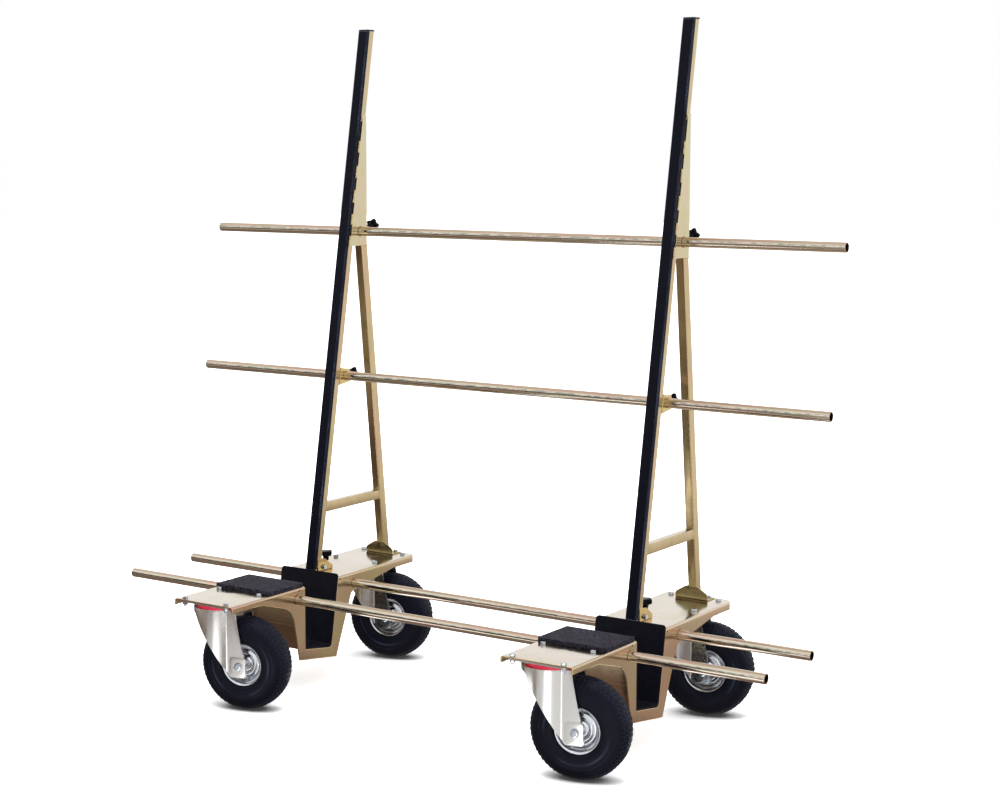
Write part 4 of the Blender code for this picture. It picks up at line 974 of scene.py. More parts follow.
def settle_on_units(*rows):
    """Pieces that both units carry; a row is name, mesh, material, slot and the plain piece that it stands for; the
    slot is not used.
    """
    for unit in units:
        for name, mesh, material, slot, *stands_for in rows:
            plain = [node + "_" + unit for node in stands_for]
            settle(f"{name}_{unit}", mesh, material, unit + "_unit", at_unit[unit], plain)


# %% [markdown]
# ## Where things are
# These are the cart's own sizes, in metres. The uprights lean back by almost ten degrees, so small functions give
# the place of the rubber's front and of the steel's back at any height. A cutter reaches past what it cuts by the
# overrun.

# %% Sizes and places
lean = math.radians(9.82)
slope = math.tan(lean)
plat = 0.3067
sheet = 0.004
gap = 0.0003
half_base = 0.105
base_front, base_rear = -0.423, 0.423
pocket_front = -0.1133
carrier_foot = 0.0343
pocket_low_front, pocket_low_rear = plat - 0.183, plat - 0.201
tube_radius = 0.0135
tube_hole = tube_radius + 0.0014
rubber_depth = 0.0045
upright_top, upper_height, middle_height = 1.884, 1.2975, 0.8744
overrun = 0.02
wheel_radius = 0.130
trail, caster_turn = 0.074, math.radians(13.7)
units = {"left": 0.0221 - 1.083 / 2, "right": 0.0221 + 1.083 / 2}
casters = {"front": base_front + 0.0788, "rear": base_rear - 0.1014}


def level(thickness):
    """A thickness square to the upright, measured level."""
    return thickness / math.cos(lean)


def rubber_front(height):
    """Y of the rubber's front face."""
    return carrier_foot + slope * (height - plat)


def steel_back(height):
    """Y of the upright's rear face."""
    return rubber_front(height) + level(0.0345)


# %% Lines of the tubes and of the leg
tube_lines = {
    "upper_tube": (steel_back(upper_height) + 0.0264, upper_height),
    "middle_tube": (steel_back(middle_height) + 0.0277, middle_height),
    "rear_floor_tube": (carrier_foot + 0.0779, plat - 0.0315),
    "front_floor_tube": (pocket_front - 0.0342, plat - 0.0315),
}
leg_top = upper_height - 0.042 + 0.020
leg_bottom = plat + 3 * gap + 0.0027
leg_top_y = steel_back(leg_top) + 0.0372
leg_bottom_y = base_rear - 0.0439
leg_slope = (leg_bottom_y - leg_top_y) / (leg_top - leg_bottom)
leg_lean = math.atan(leg_slope)


def leg_face(height):
    """Y of the leg's front face."""
    return leg_bottom_y - leg_slope * (height - leg_bottom)


gusset_low = 1.2555
gusset_back = leg_face(leg_top) + 0.030 / math.cos(leg_lean) - 0.0049
gusset_high = plat + (gusset_back - steel_back(plat)) / slope
at_unit = {name: Matrix.Translation((x, 0, 0)) for name, x in units.items()}
print("units at", {name: round(x, 4) for name, x in units.items()})

# %% [markdown]
# ## Repeats with Geometry Nodes
# A tyre has about sixty equal tread blocks in each row, a weld is a row of small overlapping drops, and a caster is
# held by four equal bolts. Each of these is one shape repeated, so three small Geometry Nodes trees do the work:
# round an axis, along a path, and at a set of points. Every tree ends with Realize Instances and Set Material, and
# the result is kept as a plain mesh.

# %% Geometry Nodes trees


def new_repeat(name, **inputs):
    """A geometry tree with its inputs, the group's input sockets, and the shape to repeat."""
    tree = bpy.data.node_groups.new(name, "GeometryNodeTree")
    for socket, kind in {"Geometry": "Geometry", "Shape": "Object", **inputs, "Material": "Material"}.items():
        tree.interface.new_socket(socket, in_out="INPUT", socket_type="NodeSocket" + kind)
    tree.interface.new_socket("Geometry", in_out="OUTPUT", socket_type="NodeSocketGeometry")
    gin = tree.nodes.new("NodeGroupInput")
    shape = add(tree, "GeometryNodeObjectInfo", {"Object": gin.outputs["Shape"]})
    return tree, gin.outputs, shape.outputs["Geometry"]


def end_repeat(tree, given, shape, points, **settings):
    """Copies of the shape at the points, and the two nodes that end every tree."""
    copies = add(tree, "GeometryNodeInstanceOnPoints", {"Points": points, "Instance": shape, **settings})
    real = add(tree, "GeometryNodeRealizeInstances", {"Geometry": copies.outputs[0]})
    finished = add(tree, "GeometryNodeSetMaterial", {"Geometry": real.outputs[0], "Material": given["Material"]})
    tree.links.new(finished.outputs[0], tree.nodes.new("NodeGroupOutput").inputs[0])


# %% Round an axis, along a path, at points
round_axis, given, shape = new_repeat("repeat_round_axis", Count="Int", Start="Float")
dots = add(round_axis, "GeometryNodePoints", {"Count": given["Count"]})
number = add(round_axis, "GeometryNodeInputIndex").outputs[0]
step = arithmetic(round_axis, "DIVIDE", 2 * math.pi, given["Count"])
angle = arithmetic(round_axis, "ADD", times(round_axis, number, step), given["Start"])
turn = add(round_axis, "ShaderNodeCombineXYZ", {"Y": angle}).outputs[0]
end_repeat(round_axis, given, shape, dots.outputs[0], Rotation=turn)

along_path, given, shape = new_repeat("drops_along_path", Pitch="Float", Size="Float", Seed="Int")
line = add(along_path, "GeometryNodeMeshToCurve", {"Mesh": given["Geometry"]}).outputs[0]
spaced = add(along_path, "GeometryNodeResampleCurve", {"Curve": line, "Length": given["Pitch"]}, mode="LENGTH")
sizes = add(along_path, "FunctionNodeRandomValue", {"Seed": given["Seed"]}, data_type="FLOAT")
for socket, share in zip(sizes.inputs[2:4], (0.8, 1.25)):
    along_path.links.new(times(along_path, given["Size"], share), socket)
spin = add(along_path, "FunctionNodeRandomValue", {"Seed": given["Seed"]}, data_type="FLOAT_VECTOR")
spin.inputs[1].default_value = (3.1, 3.1, 3.1)
end_repeat(along_path, given, shape, spaced.outputs[0], Scale=sizes.outputs[1], Rotation=spin.outputs[0])

at_points, given, shape = new_repeat("shape_at_points", Spin="Float", Seed="Int")
any_turn = add(at_points, "FunctionNodeRandomValue", {"Seed": given["Seed"]}, data_type="FLOAT")
at_points.links.new(given["Spin"], any_turn.inputs[3])
turn = add(at_points, "ShaderNodeCombineXYZ", {"Z": any_turn.outputs[1]}).outputs[0]
end_repeat(at_points, given, shape, given["Geometry"], Rotation=turn)

# %% Meshes from the trees


def grown(tree, mesh, **values):
    """The plain mesh that a tree makes from a mesh and its sizes."""
    start = workpiece(tree.name, mesh)
    change = start.modifiers.new("repeat", "NODES")
    change.node_group = tree
    for item in tree.interface.items_tree:
        if item.item_type == "SOCKET" and item.in_out == "INPUT" and item.name in values:
            change[item.identifier] = values[item.name]
    result = taken(start)
    start.modifiers.clear()
    return result


def point_mesh(points, edges=()):
    """A mesh of loose points, or of a path when edges are given."""
    mesh = bpy.data.meshes.new("points")
    mesh.from_pydata(points, edges, [])
    return mesh


def joined(name, meshes):
    """Several meshes as one, with their materials kept."""
    work = bmesh.new()
    materials = []
    for mesh in meshes:
        first = len(work.faces)
        work.from_mesh(mesh)
        work.faces.ensure_lookup_table()
        for face in work.faces[first:]:
            slot = mesh.materials[face.material_index] if len(mesh.materials) else None
            if slot not in materials:
                materials.append(slot)
            face.material_index = materials.index(slot)
    result = bpy.data.meshes.new(name)
    work.to_mesh(result)
    work.free()
    for material in materials:
        result.materials.append(material)
    result.set_sharp_from_angle(angle=math.radians(32))
    return result


def moved(mesh, matrix):
    """A copy of a mesh in another place."""
    copy = mesh.copy()
    copy.transform(matrix)
    return copy


# %% Welds
drop = turned(
    "weld_drop", [(0, -0.5), (0.28, -0.42), (0.46, -0.2), (0.5, 0), (0.46, 0.2), (0.28, 0.42), (0, 0.5)], 10, False,
)


def weld_line(start, end, count, width, seed, pitch=0.0017):
    """A straight weld between two points."""
    path = point_mesh(np.linspace(start, end, count).tolist(), [(i, i + 1) for i in range(count - 1)])
    return grown(along_path, path, Shape=drop, Pitch=pitch, Size=width, Seed=seed, Material=weld_zinc)


# %% [markdown]
# ## The four tubes
# Each is a plain pipe with a lightly broken edge. Its wall shows at the open ends.

# %% Tubes
half_length = 2.095 / 2
bore = tube_radius - 0.002
chamfer = 0.0005
pipe_profile = [
    (tube_radius - chamfer, -half_length), (tube_radius, -half_length + chamfer),
    (tube_radius, half_length - chamfer), (tube_radius - chamfer, half_length), (bore + chamfer, half_length),
    (bore, half_length - chamfer), (bore, -half_length + chamfer), (bore + chamfer, -half_length),
]
pipe = taken(turned("pipe", pipe_profile, 64, True, "X"))
for tube_name, (tube_y, tube_z) in tube_lines.items():
    place = Matrix.Translation((0, tube_y, tube_z))
    settle("pipe_" + tube_name, pipe, tube_zinc, tube_name, place, (tube_name,))
print("tubes:", len(tube_lines))

# %% [markdown]
# ## The folded base
# The base is one thick sheet, folded down at both long sides. Seen from the side it has two arches, for the wheels,
# and a deep U in the middle where the panes stand. Cutting the channel with the side view and the top view gives
# exactly the folded part, with its bends.

# %% Line of the pocket


def pocket_path(front_top, rear_top, steps=8):
    """The pocket seen from the side."""
    depth = level(rubber_depth)
    corner = rounded(
        [
            (pocket_front, pocket_low_front, 0),
            (rubber_front(pocket_low_rear) + depth, pocket_low_rear, 0.012),
            (rubber_front(rear_top) + depth, rear_top, 0),
        ],
        steps,
    )
    return [(pocket_front, front_top)] + corner


# %% Section of the base
lowest = min(pocket_low_front - 0.027, pocket_low_rear - 0.033)
inner_half = half_base - sheet
channel = folded(
    "base_channel",
    [
        (-half_base, lowest, 0), (-inner_half, lowest, 0), (-inner_half, plat - sheet, 0.002),
        (inner_half, plat - sheet, 0.002), (inner_half, lowest, 0), (half_base, lowest, 0),
        (half_base, plat, 0.006), (-half_base, plat, 0.006),
    ],
    6, base_front, base_rear, "XZ",
)

# %% Side view and top view
pocket_corner_y = rubber_front(pocket_low_rear) + level(rubber_depth)
floor_lines = (tube_lines["front_floor_tube"], tube_lines["rear_floor_tube"])
small_holes = ((pocket_front - 0.0225, plat - 0.0085), (carrier_foot + 0.013, plat - 0.0085))
side_view = prism(
    "base_side",
    [
        rounded(
            [
                (base_front - overrun, plat + overrun, 0),
                (base_front - overrun, plat - 0.018, 0),
                (pocket_front - 0.187, plat - 0.018, 0.080),
                (pocket_front - 0.0547, plat - 0.0567, 0.065),
                (pocket_front - 0.0247, pocket_low_front - 0.027, 0.003),
                (pocket_corner_y + 0.022, pocket_low_rear - 0.033, 0.003),
                (carrier_foot + 0.0657, plat - 0.0552, 0.012),
                (carrier_foot + 0.271, plat - 0.021, 0.080),
                (base_rear + overrun, plat - 0.021, 0),
                (base_rear + overrun, plat + overrun, 0),
            ],
            12,
        ),
        *[ring(line, tube_hole, 48) for line in floor_lines],
        *[ring(spot, 0.0032, 20) for spot in small_holes],
    ],
    -half_base - overrun,
    half_base + overrun,
    "YZ",
)
bolt_spots = [(sx * 0.074, y + sy * 0.070) for y in casters.values() for sx in (-1, 1) for sy in (-1, 1)]
top_view = prism(
    "base_top",
    [
        rounded(
            [
                (-half_base - overrun, base_front - overrun, 0), (half_base + overrun, base_front - overrun, 0),
                (half_base + overrun, 0, 0), (half_base, 0, 0), (half_base, base_rear, 0.028),
                (-half_base, base_rear, 0.028), (-half_base, 0, 0), (-half_base - overrun, 0, 0),
            ],
            10,
        ),
        *[ring(spot, 0.0045, 20) for spot in bolt_spots],
    ],
    0,
    plat + overrun,
    "XY",
)

# %% Pocket
trough_top = plat - sheet / 2
trough_side = half_base - sheet / 2
trough = prism("trough", [offset_path(pocket_path(trough_top, trough_top), -0.003)], -trough_side, trough_side, "YZ")
lap = block(
    "lap", (-trough_side, pocket_front - 0.006, plat - 0.119), (trough_side, pocket_front - 0.0015, trough_top),
)
opening = prism(
    "pocket_opening", [pocket_path(plat + overrun, plat + overrun)], -half_base - overrun, half_base + overrun, "YZ",
)
combine(channel, "INTERSECT", side_view, top_view)
combine(channel, "UNION", trough, lap)
combine(channel, "DIFFERENCE", opening)
base_mesh = taken(channel)
print("base triangles:", triangles(base_mesh))

# %% Shade in the holes


def dark_ring(line, outside):
    """The shade in the gap round a tube, just inside the two outer faces of a sheet part."""
    rings = []
    for near_x, far_x in ((outside - 0.0016, outside - 0.0003), (-outside + 0.0003, -outside + 0.0016)):
        low, high = tube_radius + 0.0002, tube_radius + 0.0013
        profile = [(low, near_x), (high, near_x), (high, far_x), (low, far_x)]
        rings.append(moved(taken(turned("gap_ring", profile, 48, True, "X")), Matrix.Translation((0, *line))))
    return rings


def dark_disc(line, outside):
    """The shade in a small bolt hole on both sides."""
    ends = [(side * (outside - 0.0018), side * (outside - 0.0006)) for side in (-1, 1)]
    return [taken(rod("bolt_hole", 0.0030, (a, *line), (b, *line), 20)) for a, b in ends]


# The rings and discs are black rubber, put where the real gaps show only shade: painted shade.
shades = [mesh for line in floor_lines for mesh in dark_ring(line, half_base)]
for line in small_holes:
    shades += dark_disc(line, half_base)
base_shades = joined("base_shades", shades)
settle_on_units(
    ("folded_base", base_mesh, platform_zinc, "yellow_zinc", "base_frame"),
    ("base_shades", base_shades, liner_rubber, "black_rubber"),
)
print("shades of holes:", len(shades))

# %% [markdown]
# ## The black lining and the loading pad
# The pocket is lined with a bent plate of hard rubber whose rear wall stands proud of the platform. In front of it
# lies a pad of bonded rubber crumb, on which a pane's edge is set down first.

# %% Lining and pad
lining_rear_top = plat + 0.0088
path = pocket_path(plat - sheet, lining_rear_top)
lining = prism(
    "lining", [offset_path(path, gap) + offset_path(path, gap + 0.0042)[::-1]], -half_base, half_base, "YZ",
)
lining_face = rounded(
    [
        (-half_base - overrun, 0, 0), (half_base + overrun, 0, 0), (half_base + overrun, plat - sheet, 0),
        (half_base, plat - sheet, 0), (half_base, lining_rear_top, 0.009), (-half_base, lining_rear_top, 0.009),
        (-half_base, plat - sheet, 0), (-half_base - overrun, plat - sheet, 0),
    ],
    8,
)
combine(lining, "INTERSECT", prism("lining_face", [lining_face], base_front, base_rear, "XZ"))
lining_mesh = taken(lining)

pad_rear = pocket_front - 0.0035
pad = prism(
    "pad", [rounded_box((-0.1015, pad_rear - 0.1415), (0.1015, pad_rear), 0.004)], plat + gap, plat + gap + 0.011,
    "XY",
)
pad_screw = turned(
    "pad_screw",
    [(0, 0.0006), (0.0012, 0.0006), (0.0016, 0.0012), (0.0034, 0.0010), (0.0040, 0.0), (0.0040, -0.002), (0, -0.002)],
    24, False,
)
pad_mesh = taken(bevelled(pad, 0.0022))
pad_screws = grown(
    at_points, point_mesh([(0.020, pad_rear - 0.028, plat + gap + 0.0108)]), Shape=pad_screw, Spin=1.0, Seed=3,
    Material=cap_plastic,
)
settle_on_units(
    ("pocket_lining", lining_mesh, liner_rubber, "black_rubber", "slot_liner"),
    ("crumb_pad", pad_mesh, pad_rubber, "speckled_pad", "loading_pad"),
    ("pad_screw", pad_screws, None, "bright_zinc"),
)
print("lining and pad triangles:", triangles(lining_mesh), triangles(pad_mesh))

# %% [markdown]
# ## Upright, rubber facing and cap
# The upright is square tube. A rubber channel with well-rounded front edges is pressed over it, and those edges
# catch the light as two long lines.

# %% Upright
near = level(rubber_depth)
far = near + level(0.030)
upright_low = plat + gap + 0.003 + gap
upright_loops = [
    rounded_box((-0.015, near), (0.015, far), 0.003),
    rounded_box((-0.013, near + 0.002), (0.013, far - 0.002), 0.001, 3),
]
upright_mesh = taken(
    leaning_bar("upright", upright_loops, upright_low, upright_top, rubber_front(upright_low), slope),
)
facing_low = plat + 0.0088 + gap
facing_outer, facing_inner = 0.0165, 0.0153
facing_back, facing_floor = level(0.012), level(0.0042)
facing_loop = rounded(
    [
        (-facing_outer, 0, 0.0028), (-0.0095, 0, 0.0), (0.0095, 0, 0.0), (facing_outer, 0, 0.0028),
        (facing_outer, facing_back, 0.0004), (facing_inner, facing_back, 0.0004), (facing_inner, facing_floor, 0),
        (-facing_inner, facing_floor, 0), (-facing_inner, facing_back, 0.0004), (-facing_outer, facing_back, 0.0004),
    ],
    6,
)
facing_mesh = taken(leaning_bar("facing", [facing_loop], facing_low, upright_top, rubber_front(facing_low), slope))
cap_low = upright_top + gap
cap_loop = rounded_box((-0.0165, 0), (0.0165, far), 0.0025)
cap = leaning_bar("cap", [cap_loop], cap_low, cap_low + 0.0037, rubber_front(cap_low), slope)
cap_mesh = taken(bevelled(cap, 0.0012))
settle_on_units(
    ("square_upright", upright_mesh, profile_zinc, "yellow_zinc", "upright_tube"),
    ("rubber_facing", facing_mesh, facing_rubber, "black_rubber", "upright_rubber"),
    ("end_cap", cap_mesh, cap_plastic, "black_plastic", "upright_cap"),
)
print("upright from", round(upright_low, 4), "to", upright_top)

# %% [markdown]
# ## Leg, crossbar and gusset
# The leg is lighter square tube. Its head runs up into a bent gusset that clasps the upright, and stitches of weld
# hold the gusset to the upright. Their heights were read from the photograph.

# %% Leg and crossbar
leg_depth = 0.030 / math.cos(leg_lean)
leg_loops = [
    rounded_box((-0.0125, 0), (0.0125, leg_depth), 0.003),
    rounded_box((-0.0105, 0.002), (0.0105, leg_depth - 0.002), 0.001, 3),
]
leg_mesh = taken(leaning_bar("leg", leg_loops, leg_bottom, leg_top, leg_bottom_y, -leg_slope))
bar_low, bar_high = 0.4925 - 0.014, 0.4925 + 0.014
crossbar = prism("crossbar", [rounded_box((-0.0125, bar_low), (0.0125, bar_high), 0.003)], 0.02, 0.40, "XZ")
bar_side = [
    (steel_back(bar_low) + gap, bar_low - 0.001), (leg_face(bar_low) - gap, bar_low - 0.001),
    (leg_face(bar_high) - gap, bar_high + 0.001), (steel_back(bar_high) + gap, bar_high + 0.001),
]
combine(crossbar, "INTERSECT", prism("crossbar_side", [bar_side], -0.02, 0.02, "YZ"))
crossbar_mesh = taken(crossbar)
print("leg leans", round(math.degrees(leg_lean), 2), "degrees")

# %% Gusset
clasp_inner = 0.0153
clasp_outer = clasp_inner + 0.0027
clasp_front = rubber_front(gusset_low) - 0.02
gusset = folded(
    "gusset",
    [
        (-clasp_outer, clasp_front, 0), (-clasp_inner, clasp_front, 0), (-clasp_inner, gusset_back - 0.0027, 0.0012),
        (clasp_inner, gusset_back - 0.0027, 0.0012), (clasp_inner, clasp_front, 0), (clasp_outer, clasp_front, 0),
        (clasp_outer, gusset_back, 0.0038), (-clasp_outer, gusset_back, 0.0038),
    ],
    6, gusset_low, gusset_high, "XY",
)
setback = facing_back + gap
clasp_side = rounded(
    [
        (rubber_front(gusset_low) + setback, gusset_low - 0.001, 0), (gusset_back + 0.02, gusset_low - 0.001, 0),
        (gusset_back + 0.02, gusset_high + 0.001, 0), (rubber_front(gusset_high) + setback, gusset_high + 0.001, 0),
    ],
    6,
)
combine(
    gusset,
    "INTERSECT",
    prism("clasp_side", [clasp_side, ring(tube_lines["upper_tube"], tube_hole)], -0.03, 0.03, "YZ"),
)
combine(
    gusset,
    "DIFFERENCE",
    block(
        "leg_window", (-clasp_inner, gusset_back - 0.01, gusset_low - 0.01),
        (clasp_inner, gusset_back + 0.02, leg_top + gap),
    ),
)

# %% Slots between the stitches
stitches = [(1.690, 1.6275), (1.5612, 1.5305), (1.4885, 1.4570), (1.4177, 1.3840), (1.3480, 1.3190), (1.2840, 1.2575)]


def front_strip(name, high, low, depth, inner, outer):
    """A strip along the front edge of both cheeks, between two heights."""
    edge = [
        (rubber_front(low) + setback - 0.002, low, 0.0), (rubber_front(low) + setback + depth, low, 0.0015),
        (rubber_front(high) + setback + depth, high, 0.0015), (rubber_front(high) + setback - 0.002, high, 0.0),
    ]
    strip = prism(name, [rounded(edge, 5)], -outer, outer, "YZ")
    combine(strip, "DIFFERENCE", block(name + "_middle", (-inner, -1, low - 0.01), (inner, 1, high + 0.01)))
    return strip


slots = [
    front_strip("slot", over[1], under[0], 0.0062, clasp_inner - 0.001, clasp_outer + 0.002)
    for over, under in zip(stitches, stitches[1:])
]
combine(gusset, "DIFFERENCE", *slots)
gusset_mesh = taken(gusset)
# Painted shade: a thin black strip behind the slots, and black rings in the upper tube's gap, where the real gaps
# show only shade.
slot_shade = taken(
    front_strip(
        "shade", min(1.62, gusset_high - 0.01), gusset_low + 0.01, 0.0085, clasp_inner - 0.0002, clasp_inner - 0.0001,
    ),
)
shade_mesh = joined("slot_shade", [slot_shade] + dark_ring(tube_lines["upper_tube"], clasp_outer))

# %% Stitches and other welds
beads = []
for side in (-1, 1):
    cheek = side * (clasp_outer - 0.0006)
    for number, (high, low) in enumerate(stitches):
        ends = [(cheek, rubber_front(z) + setback + 0.0006, z) for z in (low, min(high, gusset_high - 0.002))]
        beads.append(weld_line(*ends, 12, 0.0050, 11 + number, 0.0021))
    ends = [(side * 0.0135, leg_face(gusset_low) + d, gusset_low - 0.0004) for d in (-0.001, leg_depth)]
    beads.append(weld_line(*ends, 10, 0.003, 31, 0.0018))
    for z in (bar_low, bar_high):
        for bead_y, seed in ((steel_back(z) + 0.0004, 41), (leg_face(z) - 0.0004, 43)):
            beads.append(weld_line((-0.011, bead_y, z), (0.011, bead_y, z), 8, 0.0030, seed))
    for face in (steel_back, leg_face):
        beads.append(weld_line(*[(side * 0.0122, face(z), z) for z in (bar_low, bar_high)], 8, 0.0030, 47))
beads_mesh = joined("welds", beads)
settle_on_units(
    ("square_leg", leg_mesh, profile_zinc, "yellow_zinc", "rear_leg"),
    ("square_crossbar", crossbar_mesh, profile_zinc, "yellow_zinc", "crossbar"),
    ("bent_gusset", gusset_mesh, gusset_zinc, "yellow_zinc", "gusset"),
    ("weld_beads", beads_mesh, None, "yellow_zinc"),
    ("slot_shade", shade_mesh, liner_rubber, "black_rubber"),
)
print("weld triangles:", triangles(beads_mesh))

# %% [markdown]
# ## Hexagon bolts and nuts
# A bolt head is a hexagon whose top corners are turned away, which leaves a curved edge on each flat. Intersecting a
# hexagon with a turned cone makes the same curve.

# %% Fasteners


def hexagon_head(name, flats, height, both_ends=False):
    """A hexagon with turned corners, standing on Z = 0."""
    corner = flats / 2 / math.cos(math.pi / 6)
    bar = prism(name, [ring((0, 0), corner, 6)], 0, height, "XY")
    fall = (corner - flats / 2 * 0.95) * 0.55
    low = [(0, 0), (flats / 2 * 0.95, 0), (corner * 1.02, fall * 1.1)] if both_ends else [(0, 0), (corner * 1.02, 0)]
    cone = low + [(corner * 1.02, height - fall * 1.1), (flats / 2 * 0.95, height), (0, height)]
    combine(bar, "INTERSECT", turned(name + "_cone", cone, 48, False))
    return taken(bar, math.radians(25))


def washer(name, inner, outer, thickness):
    """A flat washer standing on Z = 0."""
    return taken(turned(name, [(inner, 0), (outer, 0), (outer, thickness), (inner, thickness)], 36))


# %% Bolts and nuts of the casters
bolt_head = joined(
    "bolt_head",
    [
        washer("washer", 0.004, 0.0078, 0.0012),
        moved(hexagon_head("m8", 0.013, 0.0053), Matrix.Translation((0, 0, 0.0010))),
    ],
)
bolt_nut = joined(
    "bolt_nut",
    [
        moved(hexagon_head("m8_nut", 0.013, 0.0065, True), Matrix.Translation((0, 0, -0.0065))),
        taken(rod("thread", 0.0038, (0, 0, -0.0115), (0, 0, 0.001), 20)),
    ],
)
head_shape = workpiece("bolt_head", bolt_head)
nut_shape = workpiece("bolt_nut", bolt_nut)
head_places = [(x, y, plat + gap) for x, y in bolt_spots]
nut_places = [(x, y, plat - sheet - 0.0046) for x, y in bolt_spots]
caster_heads = grown(at_points, point_mesh(head_places), Shape=head_shape, Spin=1.0, Seed=5, Material=bolt_zinc)
caster_nuts = grown(at_points, point_mesh(nut_places), Shape=nut_shape, Spin=1.0, Seed=9, Material=bolt_zinc)
print("bolts a unit:", len(head_places))

# %% [markdown]
# ## Bracket, shoe and foot
# Three small bent parts carry most of the gold colour: the bracket of the middle tube, the shoe in which the
# upright stands, and the gabled foot of the leg.

# %% Middle bracket
middle_y, middle_z = tube_lines["middle_tube"]
bracket_back = steel_back(middle_z) + 0.050
bracket = folded(
    "bracket",
    [
        (-0.016, 0.0, 0), (-0.012, 0.0, 0), (-0.012, bracket_back - 0.004, 0.0015),
        (0.012, bracket_back - 0.004, 0.0015),
        (0.012, 0.0, 0), (0.016, 0.0, 0), (0.016, bracket_back, 0.005), (-0.016, bracket_back, 0.005),
    ],
    6, middle_z - 0.03, middle_z + 0.03, "XY",
)
bracket_side = rounded(
    [
        (steel_back(middle_z - 0.025) + gap, middle_z - 0.025, 0), (bracket_back + 0.001, middle_z - 0.018, 0.004),
        (bracket_back + 0.001, middle_z + 0.018, 0.004), (steel_back(middle_z + 0.025) + gap, middle_z + 0.025, 0),
    ],
    6,
)
combine(
    bracket, "INTERSECT",
    prism("bracket_side", [bracket_side, ring((middle_y, middle_z), tube_radius + 0.0006)], -0.02, 0.02, "YZ"),
)
bracket_mesh = taken(bracket)
bracket_beads = []
for side in (-1, 1):
    ends = [(side * 0.0145, steel_back(z) + 0.0008, z) for z in (middle_z - 0.024, middle_z + 0.024)]
    bracket_beads.append(weld_line(*ends, 10, 0.0036, 51))
print("bracket triangles:", triangles(bracket_mesh))

# %% Shoe of the upright
shoe_front = rubber_front(plat + 0.0393) + facing_back + gap
ear_inner, ear_outer = 0.0153, 0.0183
shoe = folded(
    "shoe",
    [
        (-ear_outer, plat + gap, 0.0035), (ear_outer, plat + gap, 0.0035), (ear_outer, plat + 0.05, 0),
        (ear_inner, plat + 0.05, 0), (ear_inner, plat + gap + 0.003, 0.001), (-ear_inner, plat + gap + 0.003, 0.001),
        (-ear_inner, plat + 0.05, 0), (-ear_outer, plat + 0.05, 0),
    ],
    6, 0.0, 0.2, "XZ",
)
shoe_side = rounded(
    [
        (shoe_front, plat, 0), (carrier_foot + 0.087, plat, 0), (carrier_foot + 0.087, plat + 0.0113, 0.006),
        (carrier_foot + 0.052, plat + 0.0353, 0.010), (shoe_front, plat + 0.0393, 0.006),
    ],
    8,
)
combine(shoe, "INTERSECT", prism("shoe_side", [shoe_side], -0.03, 0.03, "YZ"))
shoe_mesh = taken(shoe)
shoe_bolt_y, shoe_bolt_z = carrier_foot + 0.045, plat + 0.0113
bolt_ends = [
    Matrix.Translation((side * (ear_outer + gap), shoe_bolt_y, shoe_bolt_z)) @ Matrix.Rotation(
        side * math.pi / 2, 4, "Y",
    )
    for side in (1, -1)
]
shank = rod("shank", 0.0039, (-0.027, shoe_bolt_y, shoe_bolt_z), (0.02, shoe_bolt_y, shoe_bolt_z))
shoe_bolt_mesh = joined("shoe_bolt", [*[moved(bolt_head, place) for place in bolt_ends], taken(shank)])
print("shoe bolt triangles:", triangles(shoe_bolt_mesh))

# %% Foot of the leg
gable_y = leg_face(plat + 0.0373) - gap - 0.003
foot_low = plat + gap
foot = folded(
    "foot",
    [
        (gable_y, plat + 0.05, 0), (gable_y, foot_low, 0.004), (gable_y + 0.043, foot_low, 0),
        (gable_y + 0.043, foot_low + 0.003, 0),
        (gable_y + 0.003, foot_low + 0.003, 0.001), (gable_y + 0.003, plat + 0.05, 0),
    ],
    6, -0.05, 0.05, "YZ",
)
gable = rounded(
    [
        (-0.05, plat, 0), (0.05, plat, 0), (0.05, plat + 0.0170, 0.010), (0.0165, plat + 0.0373, 0.026),
        (-0.0165, plat + 0.0373, 0.026), (-0.05, plat + 0.0170, 0.010),
    ],
    12,
)
combine(foot, "INTERSECT", prism("gable", [gable], gable_y - 0.01, gable_y + 0.06, "XZ"))
foot_mesh = taken(foot)

# %% Bolts and welds of shoe and foot
small_bolt = joined(
    "small_bolt",
    [
        washer("small_washer", 0.003, 0.006, 0.001),
        moved(hexagon_head("m6", 0.010, 0.004), Matrix.Translation((0, 0, 0.0008))),
    ],
)
small_shape = workpiece("small_bolt", small_bolt)
foot_bolts = grown(
    at_points,
    point_mesh([(side * 0.036, gable_y + 0.0355, foot_low + 0.003) for side in (-1, 1)]),
    Shape=small_shape, Spin=1.0, Seed=2, Material=bolt_zinc,
)
strap_top, strap_y = foot_low + 0.003, leg_face(foot_low + 0.003)
foot_beads = [
    weld_line((-0.012, gable_y + 0.0030, plat + 0.0365), (0.012, gable_y + 0.0030, plat + 0.0365), 8, 0.003, 61)
]
for x, seed in ((0.0128, 63), (-0.0128, 65)):
    foot_beads.append(
        weld_line((x, strap_y, strap_top + 0.0004), (x, strap_y + 0.03, strap_top + 0.0004), 8, 0.003, seed),
    )
shoe_weld = (shoe_front + 0.004, plat + gap + 0.0036)
foot_beads.append(weld_line((-0.0145, *shoe_weld), (0.0145, *shoe_weld), 8, 0.0035, 67))
small_welds = joined("small_welds", bracket_beads + foot_beads)
settle_on_units(
    ("tube_bracket", bracket_mesh, small_zinc, "yellow_zinc", "middle_bracket"),
    ("upright_shoe", shoe_mesh, small_zinc, "yellow_zinc", "foot_shoe"),
    ("shoe_bolt", shoe_bolt_mesh, bolt_zinc, "bright_zinc", "foot_bolt"),
    ("gabled_foot", foot_mesh, gable_shaded_zinc, "yellow_zinc", "rear_foot"),
    ("foot_bolts", foot_bolts, None, "bright_zinc"),
    ("small_welds", small_welds, None, "yellow_zinc"),
)
print("small weld triangles:", triangles(small_welds))

